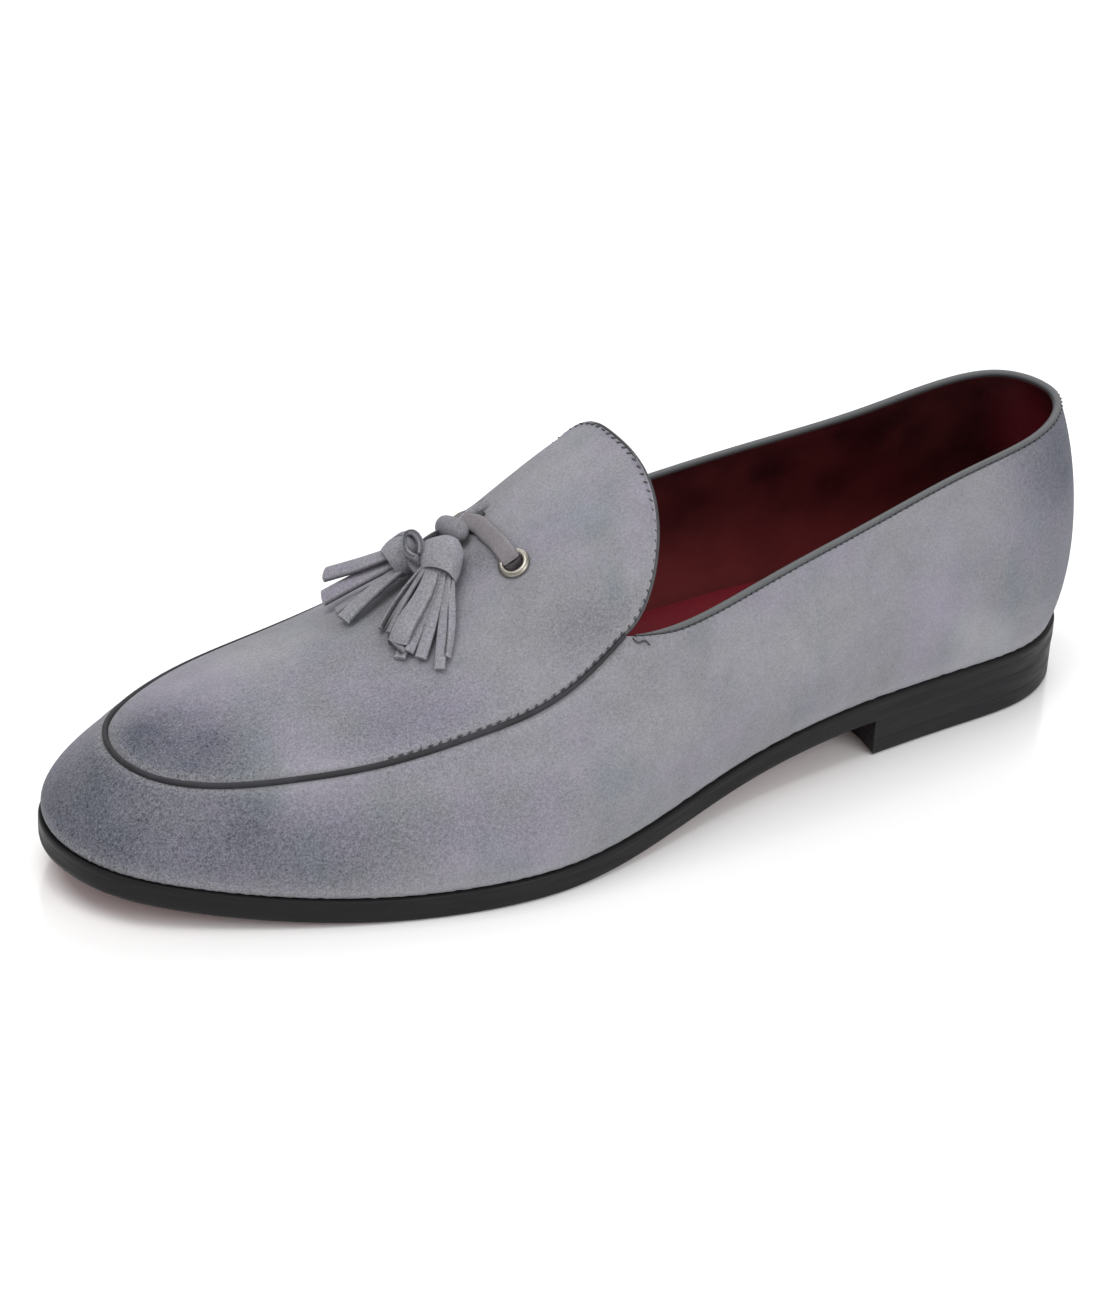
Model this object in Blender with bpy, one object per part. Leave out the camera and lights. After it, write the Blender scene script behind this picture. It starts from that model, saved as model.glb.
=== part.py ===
"""Tassel loafer, left shoe, modelled piece by piece as a maker puts it together.

Metres. +X points to the toe, +Y to the wearer's left (the outer side) and +Z up. The
floor is z = 0 and the origin is on it, under the middle of the heel.

The last is a set of ribs. Each rib starts at the feather edge, where upper and sole
meet, and climbs to the crown of the last. Ribs stand across the shoe in its middle and
fan out round the heel and the toe. Upper, apron, piping, binding, insole and sole all
read their shape from these ribs.
"""
import math

import bmesh
import bpy
import numpy as np

# Driving sizes of the last
LAST_LENGTH = 0.292
BALL_WIDTH = 0.101
INSTEP_HEIGHT = 0.101
COLLAR_HEIGHT = 0.0805
WALL_BULGE = 0.0024

# Places along the last, as shares of its length
HEEL_BREAST = 0.262
TREAD_START = 0.622
TREAD_END = 0.740
JUNCTION = 0.547
TONGUE_TOP = 0.487
HEEL_FAN = 0.170
TOE_FAN = 0.839
FAN_BLEND = 0.050

# Sole and heel
SOLE_THICKNESS = 0.0063
SOLE_MARGIN = 0.0012
HEEL_HEIGHT = 0.0102
TOE_SPRING = 0.0088
HEEL_MARGIN = 0.0006
HEEL_TUCK = 0.0034
HEEL_TUCK_END = 0.10
TOP_PIECE_THICKNESS = 0.0046
TOP_PIECE_MARGIN = 0.0010
BREAST_HOLLOW = 0.0030
INSOLE_THICKNESS = 0.0050

# Upper, apron and trimmings
UPPER_WALL = 0.0018
APRON_WALL = 0.0020
TONGUE_SQUARENESS = 4.2
BINDING_HEIGHT = 0.0021
BINDING_PROUD = 0.0003
BINDING_TAPER = 0.050
BINDING_STOP = 0.010
ROLL_SQUARENESS = 0.7
PIPING_WIDTH = 0.0022
PIPING_HEIGHT = 0.0013

# Eyelets, lace and tassels
EYELET_ALONG = 0.603
EYELET_REACH_OUTER = 0.24
EYELET_REACH_INNER = 0.36
EYELET_HOLE = 0.0024
EYELET_BARREL = 0.0029
EYELET_FLANGE = 0.0041
EYELET_RIM = 0.0010
LACE_WIDTH = 0.0042
LACE_THICKNESS = 0.0017
KNOT_ALONG = 0.618
KNOT_REACH = 0.09
KNOT_LENGTH = 0.0066
KNOT_WIDTH = 0.0080
KNOT_HEIGHT = 0.0042
HEAD_LENGTH = 0.0125
HEAD_RADIUS = 0.0052
HEAD_FLATNESS = 0.86
STRIP_WIDTH = 0.0036
STRIP_THICKNESS = 0.0015
STRIP_COUNT = 8
STRIP_STAGGER = 0.05
STRIP_ROOT = 0.0069
ROOT_SPREAD = 0.0018
ROOT_LIFT = 0.0010

# Clearances
CLEARANCE = 0.0003
SEAM_GAP = 0.0004
EYELET_SEAT = 0.0004
KNOT_SEAT = 0.0008

# How finely the curved pieces are cut up
QUARTER_STEPS = 17
VAMP_STEPS = 20
RING_STEPS = 20
BREAST_STEPS = 8
LACE_STEPS = 16
STRIP_STEPS = 4
BEAD_CORNERS = 6
ROLL_CORNERS = 8
KNOT_CORNERS = 10
HEAD_CORNERS = 12


def table(columns, *rows):
    """Rows of numbers under named columns."""
    return dict(zip(columns.split(), np.array(rows, dtype=float).T))


# Feather edge in plan: half widths on each side, as shares of the ball width
OUTLINE = table(
    "along outer inner",
    (0.000, 0.000, 0.000),
    (0.030, 0.148, 0.172),
    (0.090, 0.236, 0.232),
    (0.170, 0.264, 0.260),
    (0.300, 0.304, 0.283),
    (0.420, 0.361, 0.311),
    (0.540, 0.463, 0.383),
    (0.640, 0.513, 0.467),
    (0.740, 0.480, 0.488),
    (0.840, 0.391, 0.430),
    (0.920, 0.291, 0.323),
    (0.975, 0.186, 0.198),
    (1.000, 0.000, 0.000),
)
TOE_SWING = -0.026

# Crown of the last: height as a share of the instep, sideways as a share of the ball
CROWN = table(
    "along height sideways",
    (0.16, 1.010, 0.000),
    (0.40, 0.995, -0.018),
    (0.52, 0.862, -0.023),
    (0.60, 0.706, -0.021),
    (0.68, 0.560, -0.018),
    (0.76, 0.475, -0.014),
    (0.84, 0.441, -0.010),
)

# Rib shape: higher figures give a squarer side wall and a flatter dome. The bulge is
# the swell of the wall past the feather edge, and its height is a share of the collar.
RIB = table(
    "along wall dome bulge bulge_height",
    (0.00, 3.10, 3.20, 3.05, 0.34),
    (0.16, 2.00, 2.00, 1.10, 0.31),
    (0.45, 2.90, 2.50, 0.90, 0.15),
    (0.62, 2.18, 1.88, 0.65, 0.11),
    (0.78, 2.10, 2.02, 0.60, 0.10),
    (1.00, 1.53, 2.02, 0.70, 0.10),
)

# Top line of the quarters, as shares of the collar height
COLLAR = table(
    "along height",
    (0.00, 1.000),
    (0.10, 0.948),
    (0.22, 0.872),
    (0.36, 0.792),
    (0.48, 0.731),
    (0.60, 0.738),
)

# Apron seam behind the junction, as shares of the instep height
SEAM = table(
    "along height",
    (0.60, 0.482),
    (0.68, 0.403),
    (0.76, 0.359),
    (0.84, 0.342),
    (0.92, 0.338),
    (1.00, 0.352),
)

# Each tassel: where its head starts beside the crown, the way it points and its strips.
# Sideways is in shares of the ball width, the turn is from +X towards +Y.
TASSELS = {
    "tassel_outer": {"along": 0.634, "sideways": -0.052, "turn": 45.0, "length": 0.0185, "fan": 28.0},
    "tassel_inner": {"along": 0.646, "sideways": -0.118, "turn": -25.0, "length": 0.0160, "fan": 28.0},
}

# Girth of the knot's roll from end to end, and of a tassel's head from its neck on
KNOT_ROLL = table(
    "along size",
    (-1.00, 0.45),
    (-0.82, 0.67),
    (-0.40, 0.97),
    (0.00, 1.00),
    (0.40, 0.97),
    (0.82, 0.67),
    (1.00, 0.45),
)
HEAD = table(
    "along size",
    (0.00, 0.42),
    (0.12, 0.74),
    (0.32, 0.97),
    (0.55, 1.00),
    (0.78, 0.94),
    (0.94, 0.78),
    (1.00, 0.60),
)

LOOKS = {
    "suede": ((0.300, 0.297, 0.335), 0.95, 0.0),
    "dark_leather": ((0.058, 0.057, 0.066), 0.50, 0.0),
    "lining": ((0.060, 0.008, 0.010), 0.40, 0.0),
    "sole_edge": ((0.015, 0.014, 0.016), 0.55, 0.0),
    "heel_stack": ((0.026, 0.025, 0.028), 0.60, 0.0),
    "nickel": ((0.560, 0.540, 0.500), 0.30, 1.0),
}


def smooth_curve(knots, values, at):
    """Natural cubic spline through the knots, held flat past both ends."""
    knots = np.asarray(knots, dtype=float)
    values = np.asarray(values, dtype=float)
    at = np.asarray(at, dtype=float)
    step = np.diff(knots)
    count = len(knots)
    system = np.eye(count)
    right = np.zeros(count)
    for i in range(1, count - 1):
        system[i, i - 1:i + 2] = step[i - 1], 2 * (step[i - 1] + step[i]), step[i]
        right[i] = 6 * ((values[i + 1] - values[i]) / step[i] - (values[i] - values[i - 1]) / step[i - 1])
    bend = np.linalg.solve(system, right)
    span = np.clip(np.searchsorted(knots, at) - 1, 0, count - 2)
    b = np.clip((at - knots[span]) / step[span], 0, 1)
    a = 1 - b
    curve = a * values[span] + b * values[span + 1]
    return curve + ((a ** 3 - a) * bend[span] + (b ** 3 - b) * bend[span + 1]) * step[span] ** 2 / 6


def column(rows, name, at):
    """One column of a table, read at any place along the last."""
    return smooth_curve(rows["along"], rows[name], at)


def unit(vectors):
    """Vectors of length one."""
    return vectors / np.linalg.norm(vectors, axis=-1, keepdims=True)


def circle(corners):
    """Angles of evenly spaced corners round a circle."""
    return np.arange(corners) * 2 * math.pi / corners


def turn_of(along):
    """Angle round the outline, 0 at the heel and pi at the toe."""
    return np.arccos(1 - 2 * np.asarray(along, dtype=float))


def sole_underside(x):
    """Height of the sole's underside: heel seat, arch, flat tread and toe spring."""
    along = np.clip(x / LAST_LENGTH, 0, 1)
    arch = np.clip((TREAD_START - along) / (TREAD_START - HEEL_BREAST), 0, 1)
    lift = HEEL_HEIGHT * (0.82 * arch ** 2 * (3 - 2 * arch) + 0.18 * arch ** 1.2)
    toe = np.clip((along - TREAD_END) / (1 - TREAD_END), 0, 1)
    return np.where(along < TREAD_END, lift, TOE_SPRING * toe ** 1.9)


def sole_top(x):
    """Height of the sole's upper face, on which the insole and the upper sit."""
    return sole_underside(x) + SOLE_THICKNESS


def feather_edge(turn, side):
    """Feather edge in plan, side 1 on the outer and -1 on the inner side."""
    along = (1 - np.cos(turn)) / 2
    knots = turn_of(OUTLINE["along"])
    outer = smooth_curve(knots, OUTLINE["outer"], turn)
    inner = smooth_curve(knots, OUTLINE["inner"], turn)
    half = np.where(side > 0, outer, inner)
    tuck = HEEL_TUCK * np.clip(1 - along / HEEL_TUCK_END, 0, 1) ** 2
    return np.stack([along * LAST_LENGTH + tuck, (side * half + TOE_SWING * along ** 3) * BALL_WIDTH], -1)


def outline(turn, side, margin):
    """Feather edge moved outwards in plan by a margin."""
    nudge = 0.002
    tangent = feather_edge(turn + nudge, side) - feather_edge(turn - nudge, side)
    outward = unit(np.stack([-tangent[:, 1], tangent[:, 0]], -1) * side[:, None])
    ends = (turn < nudge) | (turn > math.pi - nudge)
    outward[ends] = np.stack([-np.cos(turn[ends]), np.zeros(ends.sum())], -1)
    return feather_edge(turn, side) + margin * outward


def crown_height(x):
    """Height of the crown of the last."""
    return column(CROWN, "height", x / LAST_LENGTH) * INSTEP_HEIGHT


def collar_line(along):
    """Height of the top line of the quarters."""
    return column(COLLAR, "height", along) * COLLAR_HEIGHT


def seam_line(along):
    """Height of the apron seam, which starts from the collar at the junction."""
    knots = np.concatenate([[JUNCTION], SEAM["along"]])
    heights = np.concatenate([[collar_line(JUNCTION)], SEAM["height"] * INSTEP_HEIGHT])
    return smooth_curve(knots, heights, along)


class Ribs:
    """Ribs of the last, one for each turn and side that it is given."""

    def __init__(self, turn, side):
        self.turn = np.asarray(turn, dtype=float)
        self.side = np.asarray(side, dtype=float)
        self.foot = feather_edge(self.turn, self.side)
        self.along = self.foot[:, 0] / LAST_LENGTH
        x = self.clamp(self.foot[:, 0])
        self.crown = np.stack([x, column(CROWN, "sideways", x / LAST_LENGTH) * BALL_WIDTH], -1)
        self.low = sole_top(self.foot[:, 0]) + CLEARANCE
        self.high = crown_height(x)
        nudge = 0.001
        self.slope = (crown_height(x + nudge) - crown_height(x - nudge)) / (2 * nudge)
        self.slope[x < HEEL_BREAST * LAST_LENGTH] = 0
        self.wall = column(RIB, "wall", self.along)[:, None]
        self.dome = column(RIB, "dome", self.along)[:, None]
        self.bulge = column(RIB, "bulge", self.along)[:, None] * WALL_BULGE
        self.swell_height = column(RIB, "bulge_height", self.along)[:, None] * COLLAR_HEIGHT

    @staticmethod
    def clamp(x):
        """Crown end of a rib, held softly between the middles of the two fans."""
        low, high, blend = HEEL_FAN * LAST_LENGTH, TOE_FAN * LAST_LENGTH, FAN_BLEND * LAST_LENGTH
        held = (x + low + np.sqrt((x - low) ** 2 + blend ** 2)) / 2
        return (held + high - np.sqrt((held - high) ** 2 + blend ** 2)) / 2

    def share_of(self, height):
        """Height above the floor as a share of each rib's climb."""
        return np.clip((height - self.low) / (self.high - self.low), 0, 1)

    def reach_of(self, share):
        """How far out from the crown a rib is at a share of its climb."""
        return (1 - share ** self.wall[:, 0]) ** (1 / self.dome[:, 0])

    def at_share(self, share):
        """Points at shares of the climb, one row of points for each rib."""
        return self.points(share, (1 - share ** self.wall) ** (1 / self.dome))

    def at_reach(self, reach):
        """Points at shares of the way out from the crown, one row for each rib."""
        return self.points((1 - reach ** self.dome) ** (1 / self.wall), reach)

    def points(self, share, reach):
        """Points of the ribs from both shares."""
        spoke = self.foot - self.crown
        length = np.linalg.norm(spoke, axis=1)[:, None]
        climb = share * (self.high - self.low)[:, None]
        swell = self.bulge * climb / self.swell_height * np.exp(1 - climb / self.swell_height)
        out = length * reach + swell * np.minimum(1, 4 * (1 - share))
        plan = self.crown[:, None, :] + (spoke / length)[:, None, :] * out[..., None]
        tilt = self.slope[:, None] * (plan[..., 0] - self.crown[:, None, 0]) * share ** 2
        return np.concatenate([plan, (self.low[:, None] + climb + tilt)[..., None]], -1)

    def crown_normals(self):
        """Direction square to the last's surface at the crown."""
        return unit(np.stack([-self.slope, np.zeros_like(self.slope), np.ones_like(self.slope)], -1))


def both_sides(turns):
    """Turns and sides of a closed loop: outer side to the toe and back on the inner side."""
    turn = np.concatenate([turns, turns[-2:0:-1]])
    side = np.concatenate([np.ones(len(turns)), -np.ones(len(turns) - 2)])
    return turn, side


def there_and_back(turns):
    """Turns and sides of an open run: down the outer side, round the last turn and back."""
    turn = np.concatenate([turns, turns[-2::-1]])
    side = np.concatenate([np.ones(len(turns)), -np.ones(len(turns) - 1)])
    return turn, side


def loop_turns():
    """Stations round one side of the shoe, with one just at the junction."""
    corner = float(turn_of(JUNCTION))
    quarter = np.linspace(0, corner, QUARTER_STEPS + 1)
    return np.concatenate([quarter, np.linspace(corner, math.pi, VAMP_STEPS + 1)[1:]])


def sheet_normals(grid, closed):
    """Directions square to a grid of points, pointing out of the shoe."""
    if closed:
        along = np.roll(grid, -1, axis=0) - np.roll(grid, 1, axis=0)
    else:
        along = np.gradient(grid, axis=0)
    across = np.gradient(grid, axis=1)
    normals = np.cross(across, along)
    length = np.linalg.norm(normals, axis=-1, keepdims=True)
    return normals / np.maximum(length, 1e-12)


def add_object(name, points, faces, look, merge=0.00001, sharp=40.0):
    """Closed mesh object with its faces turned outwards and its material."""
    mesh = bpy.data.meshes.new(name)
    mesh.from_pydata([tuple(p) for p in np.asarray(points).reshape(-1, 3)], [], faces)
    bm = bmesh.new()
    bm.from_mesh(mesh)
    bmesh.ops.remove_doubles(bm, verts=bm.verts, dist=merge)
    bmesh.ops.dissolve_degenerate(bm, edges=bm.edges, dist=merge)
    bmesh.ops.recalc_face_normals(bm, faces=bm.faces)
    bm.to_mesh(mesh)
    bm.free()
    mesh.shade_smooth()
    mesh.set_sharp_from_angle(angle=math.radians(sharp))
    mesh.materials.append(materials[look])
    piece = bpy.data.objects.new(name, mesh)
    bpy.context.scene.collection.objects.link(piece)
    piece.parent = shoe
    return piece


def make_material(name, colour, roughness, metallic):
    """Plain material with one Principled shader."""
    material = bpy.data.materials.new(name)
    material.use_nodes = True
    shader = material.node_tree.nodes["Principled BSDF"]
    shader.inputs["Base Color"].default_value = (*colour, 1.0)
    shader.inputs["Roughness"].default_value = roughness
    shader.inputs["Metallic"].default_value = metallic
    return material


def strip_of_quads(first, second, closed):
    """Faces between two lines of point numbers."""
    count = len(first)
    last = count if closed else count - 1
    return [(first[i], first[(i + 1) % count], second[(i + 1) % count], second[i]) for i in range(last)]


def thick_sheet(outer, inner, closed, crown_joined):
    """Points and faces of a wall between two grids of points.

    A closed sheet runs round the shoe. On an apron the last row is the crown, where the
    two halves meet, so that row gets no rim.
    """
    columns, rows = outer.shape[:2]
    number = np.arange(columns * rows).reshape(columns, rows)
    shift = columns * rows
    faces = []
    for j in range(rows - 1):
        faces += strip_of_quads(number[:, j], number[:, j + 1], closed)
        faces += strip_of_quads(number[:, j + 1] + shift, number[:, j] + shift, closed)
    faces += strip_of_quads(number[:, 0] + shift, number[:, 0], closed)
    if not crown_joined:
        faces += strip_of_quads(number[:, -1], number[:, -1] + shift, closed)
    return np.concatenate([outer.reshape(-1, 3), inner.reshape(-1, 3)]), faces


def swept(rings, closed_path=False):
    """Points and faces of a bar through rings of points, with flat ends."""
    rings = np.asarray(rings)
    count, size = rings.shape[:2]
    number = np.arange(count * size).reshape(count, size)
    faces = []
    for i in range(count if closed_path else count - 1):
        faces += strip_of_quads(number[i], number[(i + 1) % count], True)
    if not closed_path:
        faces += [tuple(number[0][::-1]), tuple(number[-1])]
    return rings.reshape(-1, 3), faces


def plan_slab(turn, side, margin, low, high):
    """Points and faces of a slab with the shoe's outline between two heights."""
    plan = outline(turn, side, margin)
    count = len(plan)
    half = count // 2
    below = np.column_stack([plan, low(plan[:, 0])])
    above = np.column_stack([plan, high(plan[:, 0])])
    faces = strip_of_quads(np.arange(count), np.arange(count) + count, True)
    for i in range(half):
        pair = i, i + 1, (count - i - 1) % count, (count - i) % count
        quad = tuple(dict.fromkeys(pair))
        faces.append(quad)
        faces.append(tuple(n + count for n in quad[::-1]))
    return np.concatenate([below, above]), faces


def make_outsole():
    """Outsole with its heel seat, arch, flat tread and toe spring."""
    turn, side = both_sides(loop_turns())
    points, faces = plan_slab(turn, side, SOLE_MARGIN, sole_underside, sole_top)
    return add_object("outsole", points, faces, "sole_edge")


def make_insole():
    """Insole inside the walls of the upper, on the outsole."""
    turn, side = both_sides(loop_turns())
    inset = UPPER_WALL + CLEARANCE

    def low(x):
        return sole_top(x) + CLEARANCE

    def high(x):
        return sole_top(x) + CLEARANCE + INSOLE_THICKNESS

    points, faces = plan_slab(turn, side, -inset, low, high)
    return add_object("insole", points, faces, "lining")


def heel_plan(margin):
    """Outline of the heel: the sole's outline back of a hollow breast."""
    turns = np.linspace(0, float(turn_of(HEEL_BREAST)), QUARTER_STEPS - 4)
    outer = outline(turns, np.ones(len(turns)), margin)
    inner = outline(turns, -np.ones(len(turns)), margin)
    corner_out, corner_in = outer[-1], inner[-1]
    across = np.linspace(0, 1, BREAST_STEPS + 1)[1:-1]
    breast = corner_out + across[:, None] * (corner_in - corner_out)
    breast[:, 0] -= BREAST_HOLLOW * np.sin(math.pi * across) ** 0.8
    return np.concatenate([outer, breast, inner[:0:-1]])


def make_heel_lift(name, margin, low, high):
    """One flat lift of the heel."""
    plan = heel_plan(margin)
    count = len(plan)
    below = np.column_stack([plan, np.full(count, low)])
    above = np.column_stack([plan, np.full(count, high)])
    faces = strip_of_quads(np.arange(count), np.arange(count) + count, True)
    faces += [tuple(range(count)), tuple(range(2 * count - 1, count - 1, -1))]
    return add_object(name, np.concatenate([below, above]), faces, "heel_stack")


def make_heel():
    """Heel of two lifts: the top piece on the floor and the base under the sole."""
    make_heel_lift("heel_top_piece", TOP_PIECE_MARGIN, 0.0, TOP_PIECE_THICKNESS)
    make_heel_lift("heel_base", HEEL_MARGIN, TOP_PIECE_THICKNESS + CLEARANCE, HEEL_HEIGHT - CLEARANCE)


def binding_height(along):
    """Height of the collar binding, which thins out where it meets the apron."""
    room = np.clip((JUNCTION - along) / BINDING_TAPER, 0, 1)
    return BINDING_HEIGHT * room


def make_upper():
    """Vamp and quarters in one hollow wall, open at the collar, throat and sole."""
    ribs = Ribs(*both_sides(loop_turns()))
    quarter = ribs.along < JUNCTION
    edge = np.where(quarter, collar_line(ribs.along) - binding_height(ribs.along), seam_line(ribs.along))
    rows = np.array([0, 0.05, 0.12, 0.22, 0.34, 0.48, 0.64, 0.82, 1.0])
    outer = ribs.at_share(ribs.share_of(edge)[:, None] * rows)
    normals = sheet_normals(outer, closed=True)
    normals[:, 0, 2] = 0
    normals[:, 0] = unit(normals[:, 0])
    inner = outer - UPPER_WALL * normals
    inner[:, 0, 2] = sole_top(inner[:, 0, 0]) + CLEARANCE
    points, faces = thick_sheet(outer, inner, closed=True, crown_joined=False)
    return add_object("upper", points, faces, "suede")


def apron_ribs():
    """Ribs under the apron, from the tongue's top round the toe and back, and their reach."""
    width = np.array([0.0, 0.30, 0.52, 0.70, 0.83, 0.92, 0.97])
    along = JUNCTION - (JUNCTION - TONGUE_TOP) * np.sqrt(1 - width ** TONGUE_SQUARENESS)
    tongue = turn_of(along)
    vamp = np.linspace(float(turn_of(JUNCTION)), math.pi, VAMP_STEPS + 1)
    ribs = Ribs(*there_and_back(np.concatenate([tongue, vamp])))
    corner = Ribs(vamp[:1], np.ones(1))
    corner_share = float(corner.share_of(seam_line(JUNCTION) + SEAM_GAP)[0])
    share = ribs.share_of(seam_line(ribs.along) + SEAM_GAP)
    narrow = np.concatenate([width, np.ones(len(vamp))])
    narrow = np.concatenate([narrow, narrow[-2::-1]])
    is_tongue = ribs.along < JUNCTION - 1e-9
    share[is_tongue] = corner_share
    return ribs, ribs.reach_of(share) * narrow


def make_apron():
    """Apron and tongue in one piece, sewn into the vamp along the seam."""
    ribs, reach = apron_ribs()
    rows = np.array([1.0, 0.90, 0.76, 0.60, 0.43, 0.26, 0.12, 0.0])
    outer = ribs.at_reach(reach[:, None] * rows)
    normals = sheet_normals(outer, closed=False)
    normals[:, -1] = ribs.crown_normals()
    normals[0, :] = normals[0, -1]
    normals[-1, :] = normals[-1, -1]
    inner = outer - APRON_WALL * normals
    points, faces = thick_sheet(outer, inner, closed=False, crown_joined=True)
    return add_object("apron", points, faces, "suede")


def surface_frame(ribs, share):
    """Points on the last at one share for each rib, with the uphill and outward directions."""
    nudge = 0.01
    here = ribs.at_share(share[:, None])[:, 0]
    uphill = unit(ribs.at_share(np.minimum(share + nudge, 1)[:, None])[:, 0]
                  - ribs.at_share(np.maximum(share - nudge, 0)[:, None])[:, 0])
    onward = unit(np.gradient(here, axis=0))
    outward = unit(np.cross(uphill, onward))
    return here, uphill, outward


def make_piping():
    """Piping over the apron seam, a bead with a flat underside."""
    corner = float(turn_of(JUNCTION))
    ribs = Ribs(*there_and_back(np.linspace(corner, math.pi, VAMP_STEPS + 1)))
    here, uphill, outward = surface_frame(ribs, ribs.share_of(seam_line(ribs.along) + SEAM_GAP / 2))
    bead = [(math.cos(a), math.sin(a)) for a in np.linspace(0, math.pi, BEAD_CORNERS)]
    rings = [[here[i] + uphill[i] * c * PIPING_WIDTH / 2 + outward[i] * (CLEARANCE + s * PIPING_HEIGHT)
              for c, s in bead] for i in range(len(here))]
    points, faces = swept(rings)
    return add_object("apron_piping", points, faces, "dark_leather", sharp=60)


def squarer(value):
    """Cosine or sine of a circle, moved outwards to make a round-cornered square."""
    return math.copysign(abs(value) ** ROLL_SQUARENESS, value)


def make_binding():
    """Binding rolled over the top line of the quarters, from junction to junction."""
    stations = loop_turns()[:QUARTER_STEPS]
    half = np.concatenate([stations, [float(turn_of(JUNCTION - BINDING_STOP))]])
    turn = np.concatenate([half[::-1], half[1:]])
    side = np.concatenate([np.ones(len(half)), -np.ones(len(half) - 1)])
    ribs = Ribs(turn, side)
    height = binding_height(ribs.along) - CLEARANCE
    here, uphill, outward = surface_frame(ribs, ribs.share_of(collar_line(ribs.along) - height / 2))
    width = UPPER_WALL + 2 * BINDING_PROUD
    roll = [(squarer(math.cos(a)), squarer(math.sin(a))) for a in circle(ROLL_CORNERS)]
    middle = here - outward * UPPER_WALL / 2
    rings = [[middle[i] + outward[i] * c * width / 2 + uphill[i] * s * height[i] / 2 for c, s in roll]
             for i in range(len(here))]
    points, faces = swept(rings)
    return add_object("collar_binding", points, faces, "dark_leather", sharp=60)


def on_apron(along, reach, side):
    """Point on the apron and the direction square to it."""
    ribs = Ribs([float(turn_of(along))], [side])
    nudge = 0.01
    ahead = Ribs([float(turn_of(along + nudge))], [side])
    here = ribs.at_reach(np.array([[reach]]))[0, 0]
    down = ribs.at_reach(np.array([[reach + nudge]]))[0, 0] - here
    onward = ahead.at_reach(np.array([[reach]]))[0, 0] - here
    normal = unit(np.cross(onward, down) * side)
    return here, normal


def above_apron(x, y, lift):
    """Point at a height above the apron over a place in plan, near the crown."""
    along = x / LAST_LENGTH
    sideways = y - float(column(CROWN, "sideways", along)) * BALL_WIDTH
    side = 1.0 if sideways >= 0 else -1.0
    ribs = Ribs([float(turn_of(along))], [side])
    span = np.linalg.norm(ribs.foot[0] - ribs.crown[0])
    here, normal = on_apron(along, abs(sideways) / span, side)
    return here + normal * lift, normal


def axes_from(normal, forward):
    """Forward and sideways directions in the plane square to a normal."""
    forward = unit(forward - normal * np.dot(forward, normal))
    return forward, np.cross(normal, forward)


def eyelet_reach(side):
    """How far an eyelet is from the crown, as a share of the way to the feather edge."""
    return EYELET_REACH_OUTER if side > 0 else EYELET_REACH_INNER


def make_eyelet(name, side):
    """Eyelet through the apron: a turned ring with its flange on the outside."""
    centre, normal = on_apron(EYELET_ALONG, eyelet_reach(side), side)
    first, second = axes_from(normal, np.array([1.0, 0.0, 0.0]))
    foot = -APRON_WALL - CLEARANCE
    profile = [
        (EYELET_HOLE, foot), (EYELET_BARREL, foot),
        (EYELET_BARREL, EYELET_SEAT), (EYELET_FLANGE, EYELET_SEAT),
        (EYELET_FLANGE, EYELET_SEAT + 0.4 * EYELET_RIM),
        ((EYELET_FLANGE + EYELET_BARREL) / 2, EYELET_SEAT + EYELET_RIM),
        (EYELET_BARREL, EYELET_SEAT + 0.9 * EYELET_RIM), (EYELET_HOLE, EYELET_SEAT + 0.4 * EYELET_RIM),
    ]
    rings = []
    for angle in circle(RING_STEPS):
        spoke = first * math.cos(angle) + second * math.sin(angle)
        rings.append([centre + spoke * r + normal * z for r, z in profile])
    points, faces = swept(rings, closed_path=True)
    add_object(name, points, faces, "nickel", sharp=50)
    return centre, normal


def cut_eyelet_hole(apron, name, centre, normal):
    """Round hole in the apron for an eyelet's barrel."""
    first, second = axes_from(normal, np.array([1.0, 0.0, 0.0]))
    radius = EYELET_BARREL + CLEARANCE
    depth = 2 * APRON_WALL
    rings = [[centre + normal * z + radius * (first * math.cos(a) + second * math.sin(a))
              for a in circle(RING_STEPS)] for z in (-depth, depth)]
    points, faces = swept(rings)
    cutter = add_object(name, points, faces, "nickel")
    cutter.hide_render = True
    cutter.display_type = "WIRE"
    cut = apron.modifiers.new(name, "BOOLEAN")
    cut.operation = "DIFFERENCE"
    cut.solver = "EXACT"
    cut.object = cutter


def flat_bar(path, normals, width, thickness):
    """Rings of a flat bar along a path, its broad side square to the normals."""
    path = np.asarray(path)
    normals = np.asarray(normals)
    onward = unit(np.gradient(path, axis=0))
    rings = []
    for point, normal, forward in zip(path, normals, onward):
        sideways = unit(np.cross(normal, forward))
        up = np.cross(forward, sideways)
        corners = [(-0.5, -0.5), (0.5, -0.5), (0.5, 0.1), (0.4, 0.5), (-0.4, 0.5), (-0.5, 0.1)]
        rings.append([point + sideways * a * width + up * b * thickness for a, b in corners])
    return rings


def make_lace():
    """Lace across the crown from one eyelet to the other, clear of the apron."""
    over_eyelet = EYELET_SEAT + EYELET_RIM + CLEARANCE + LACE_THICKNESS / 2
    on_crown = CLEARANCE + EYELET_SEAT + LACE_THICKNESS / 2
    path = []
    normals = []
    for way in np.linspace(-1, 1, LACE_STEPS + 1):
        side = 1.0 if way < 0 else -1.0
        near = 1 - abs(way) ** 1.5
        along = EYELET_ALONG + (KNOT_ALONG - EYELET_ALONG) * near
        point, normal = on_apron(along, eyelet_reach(side) * abs(way), side)
        lift = on_crown + (over_eyelet - on_crown) * min(1, 2.0 * abs(way)) ** 2
        path.append(point + normal * lift)
        normals.append(normal)
    points, faces = swept(flat_bar(path, normals, LACE_WIDTH, LACE_THICKNESS))
    return add_object("lace", points, faces, "suede")


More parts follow.
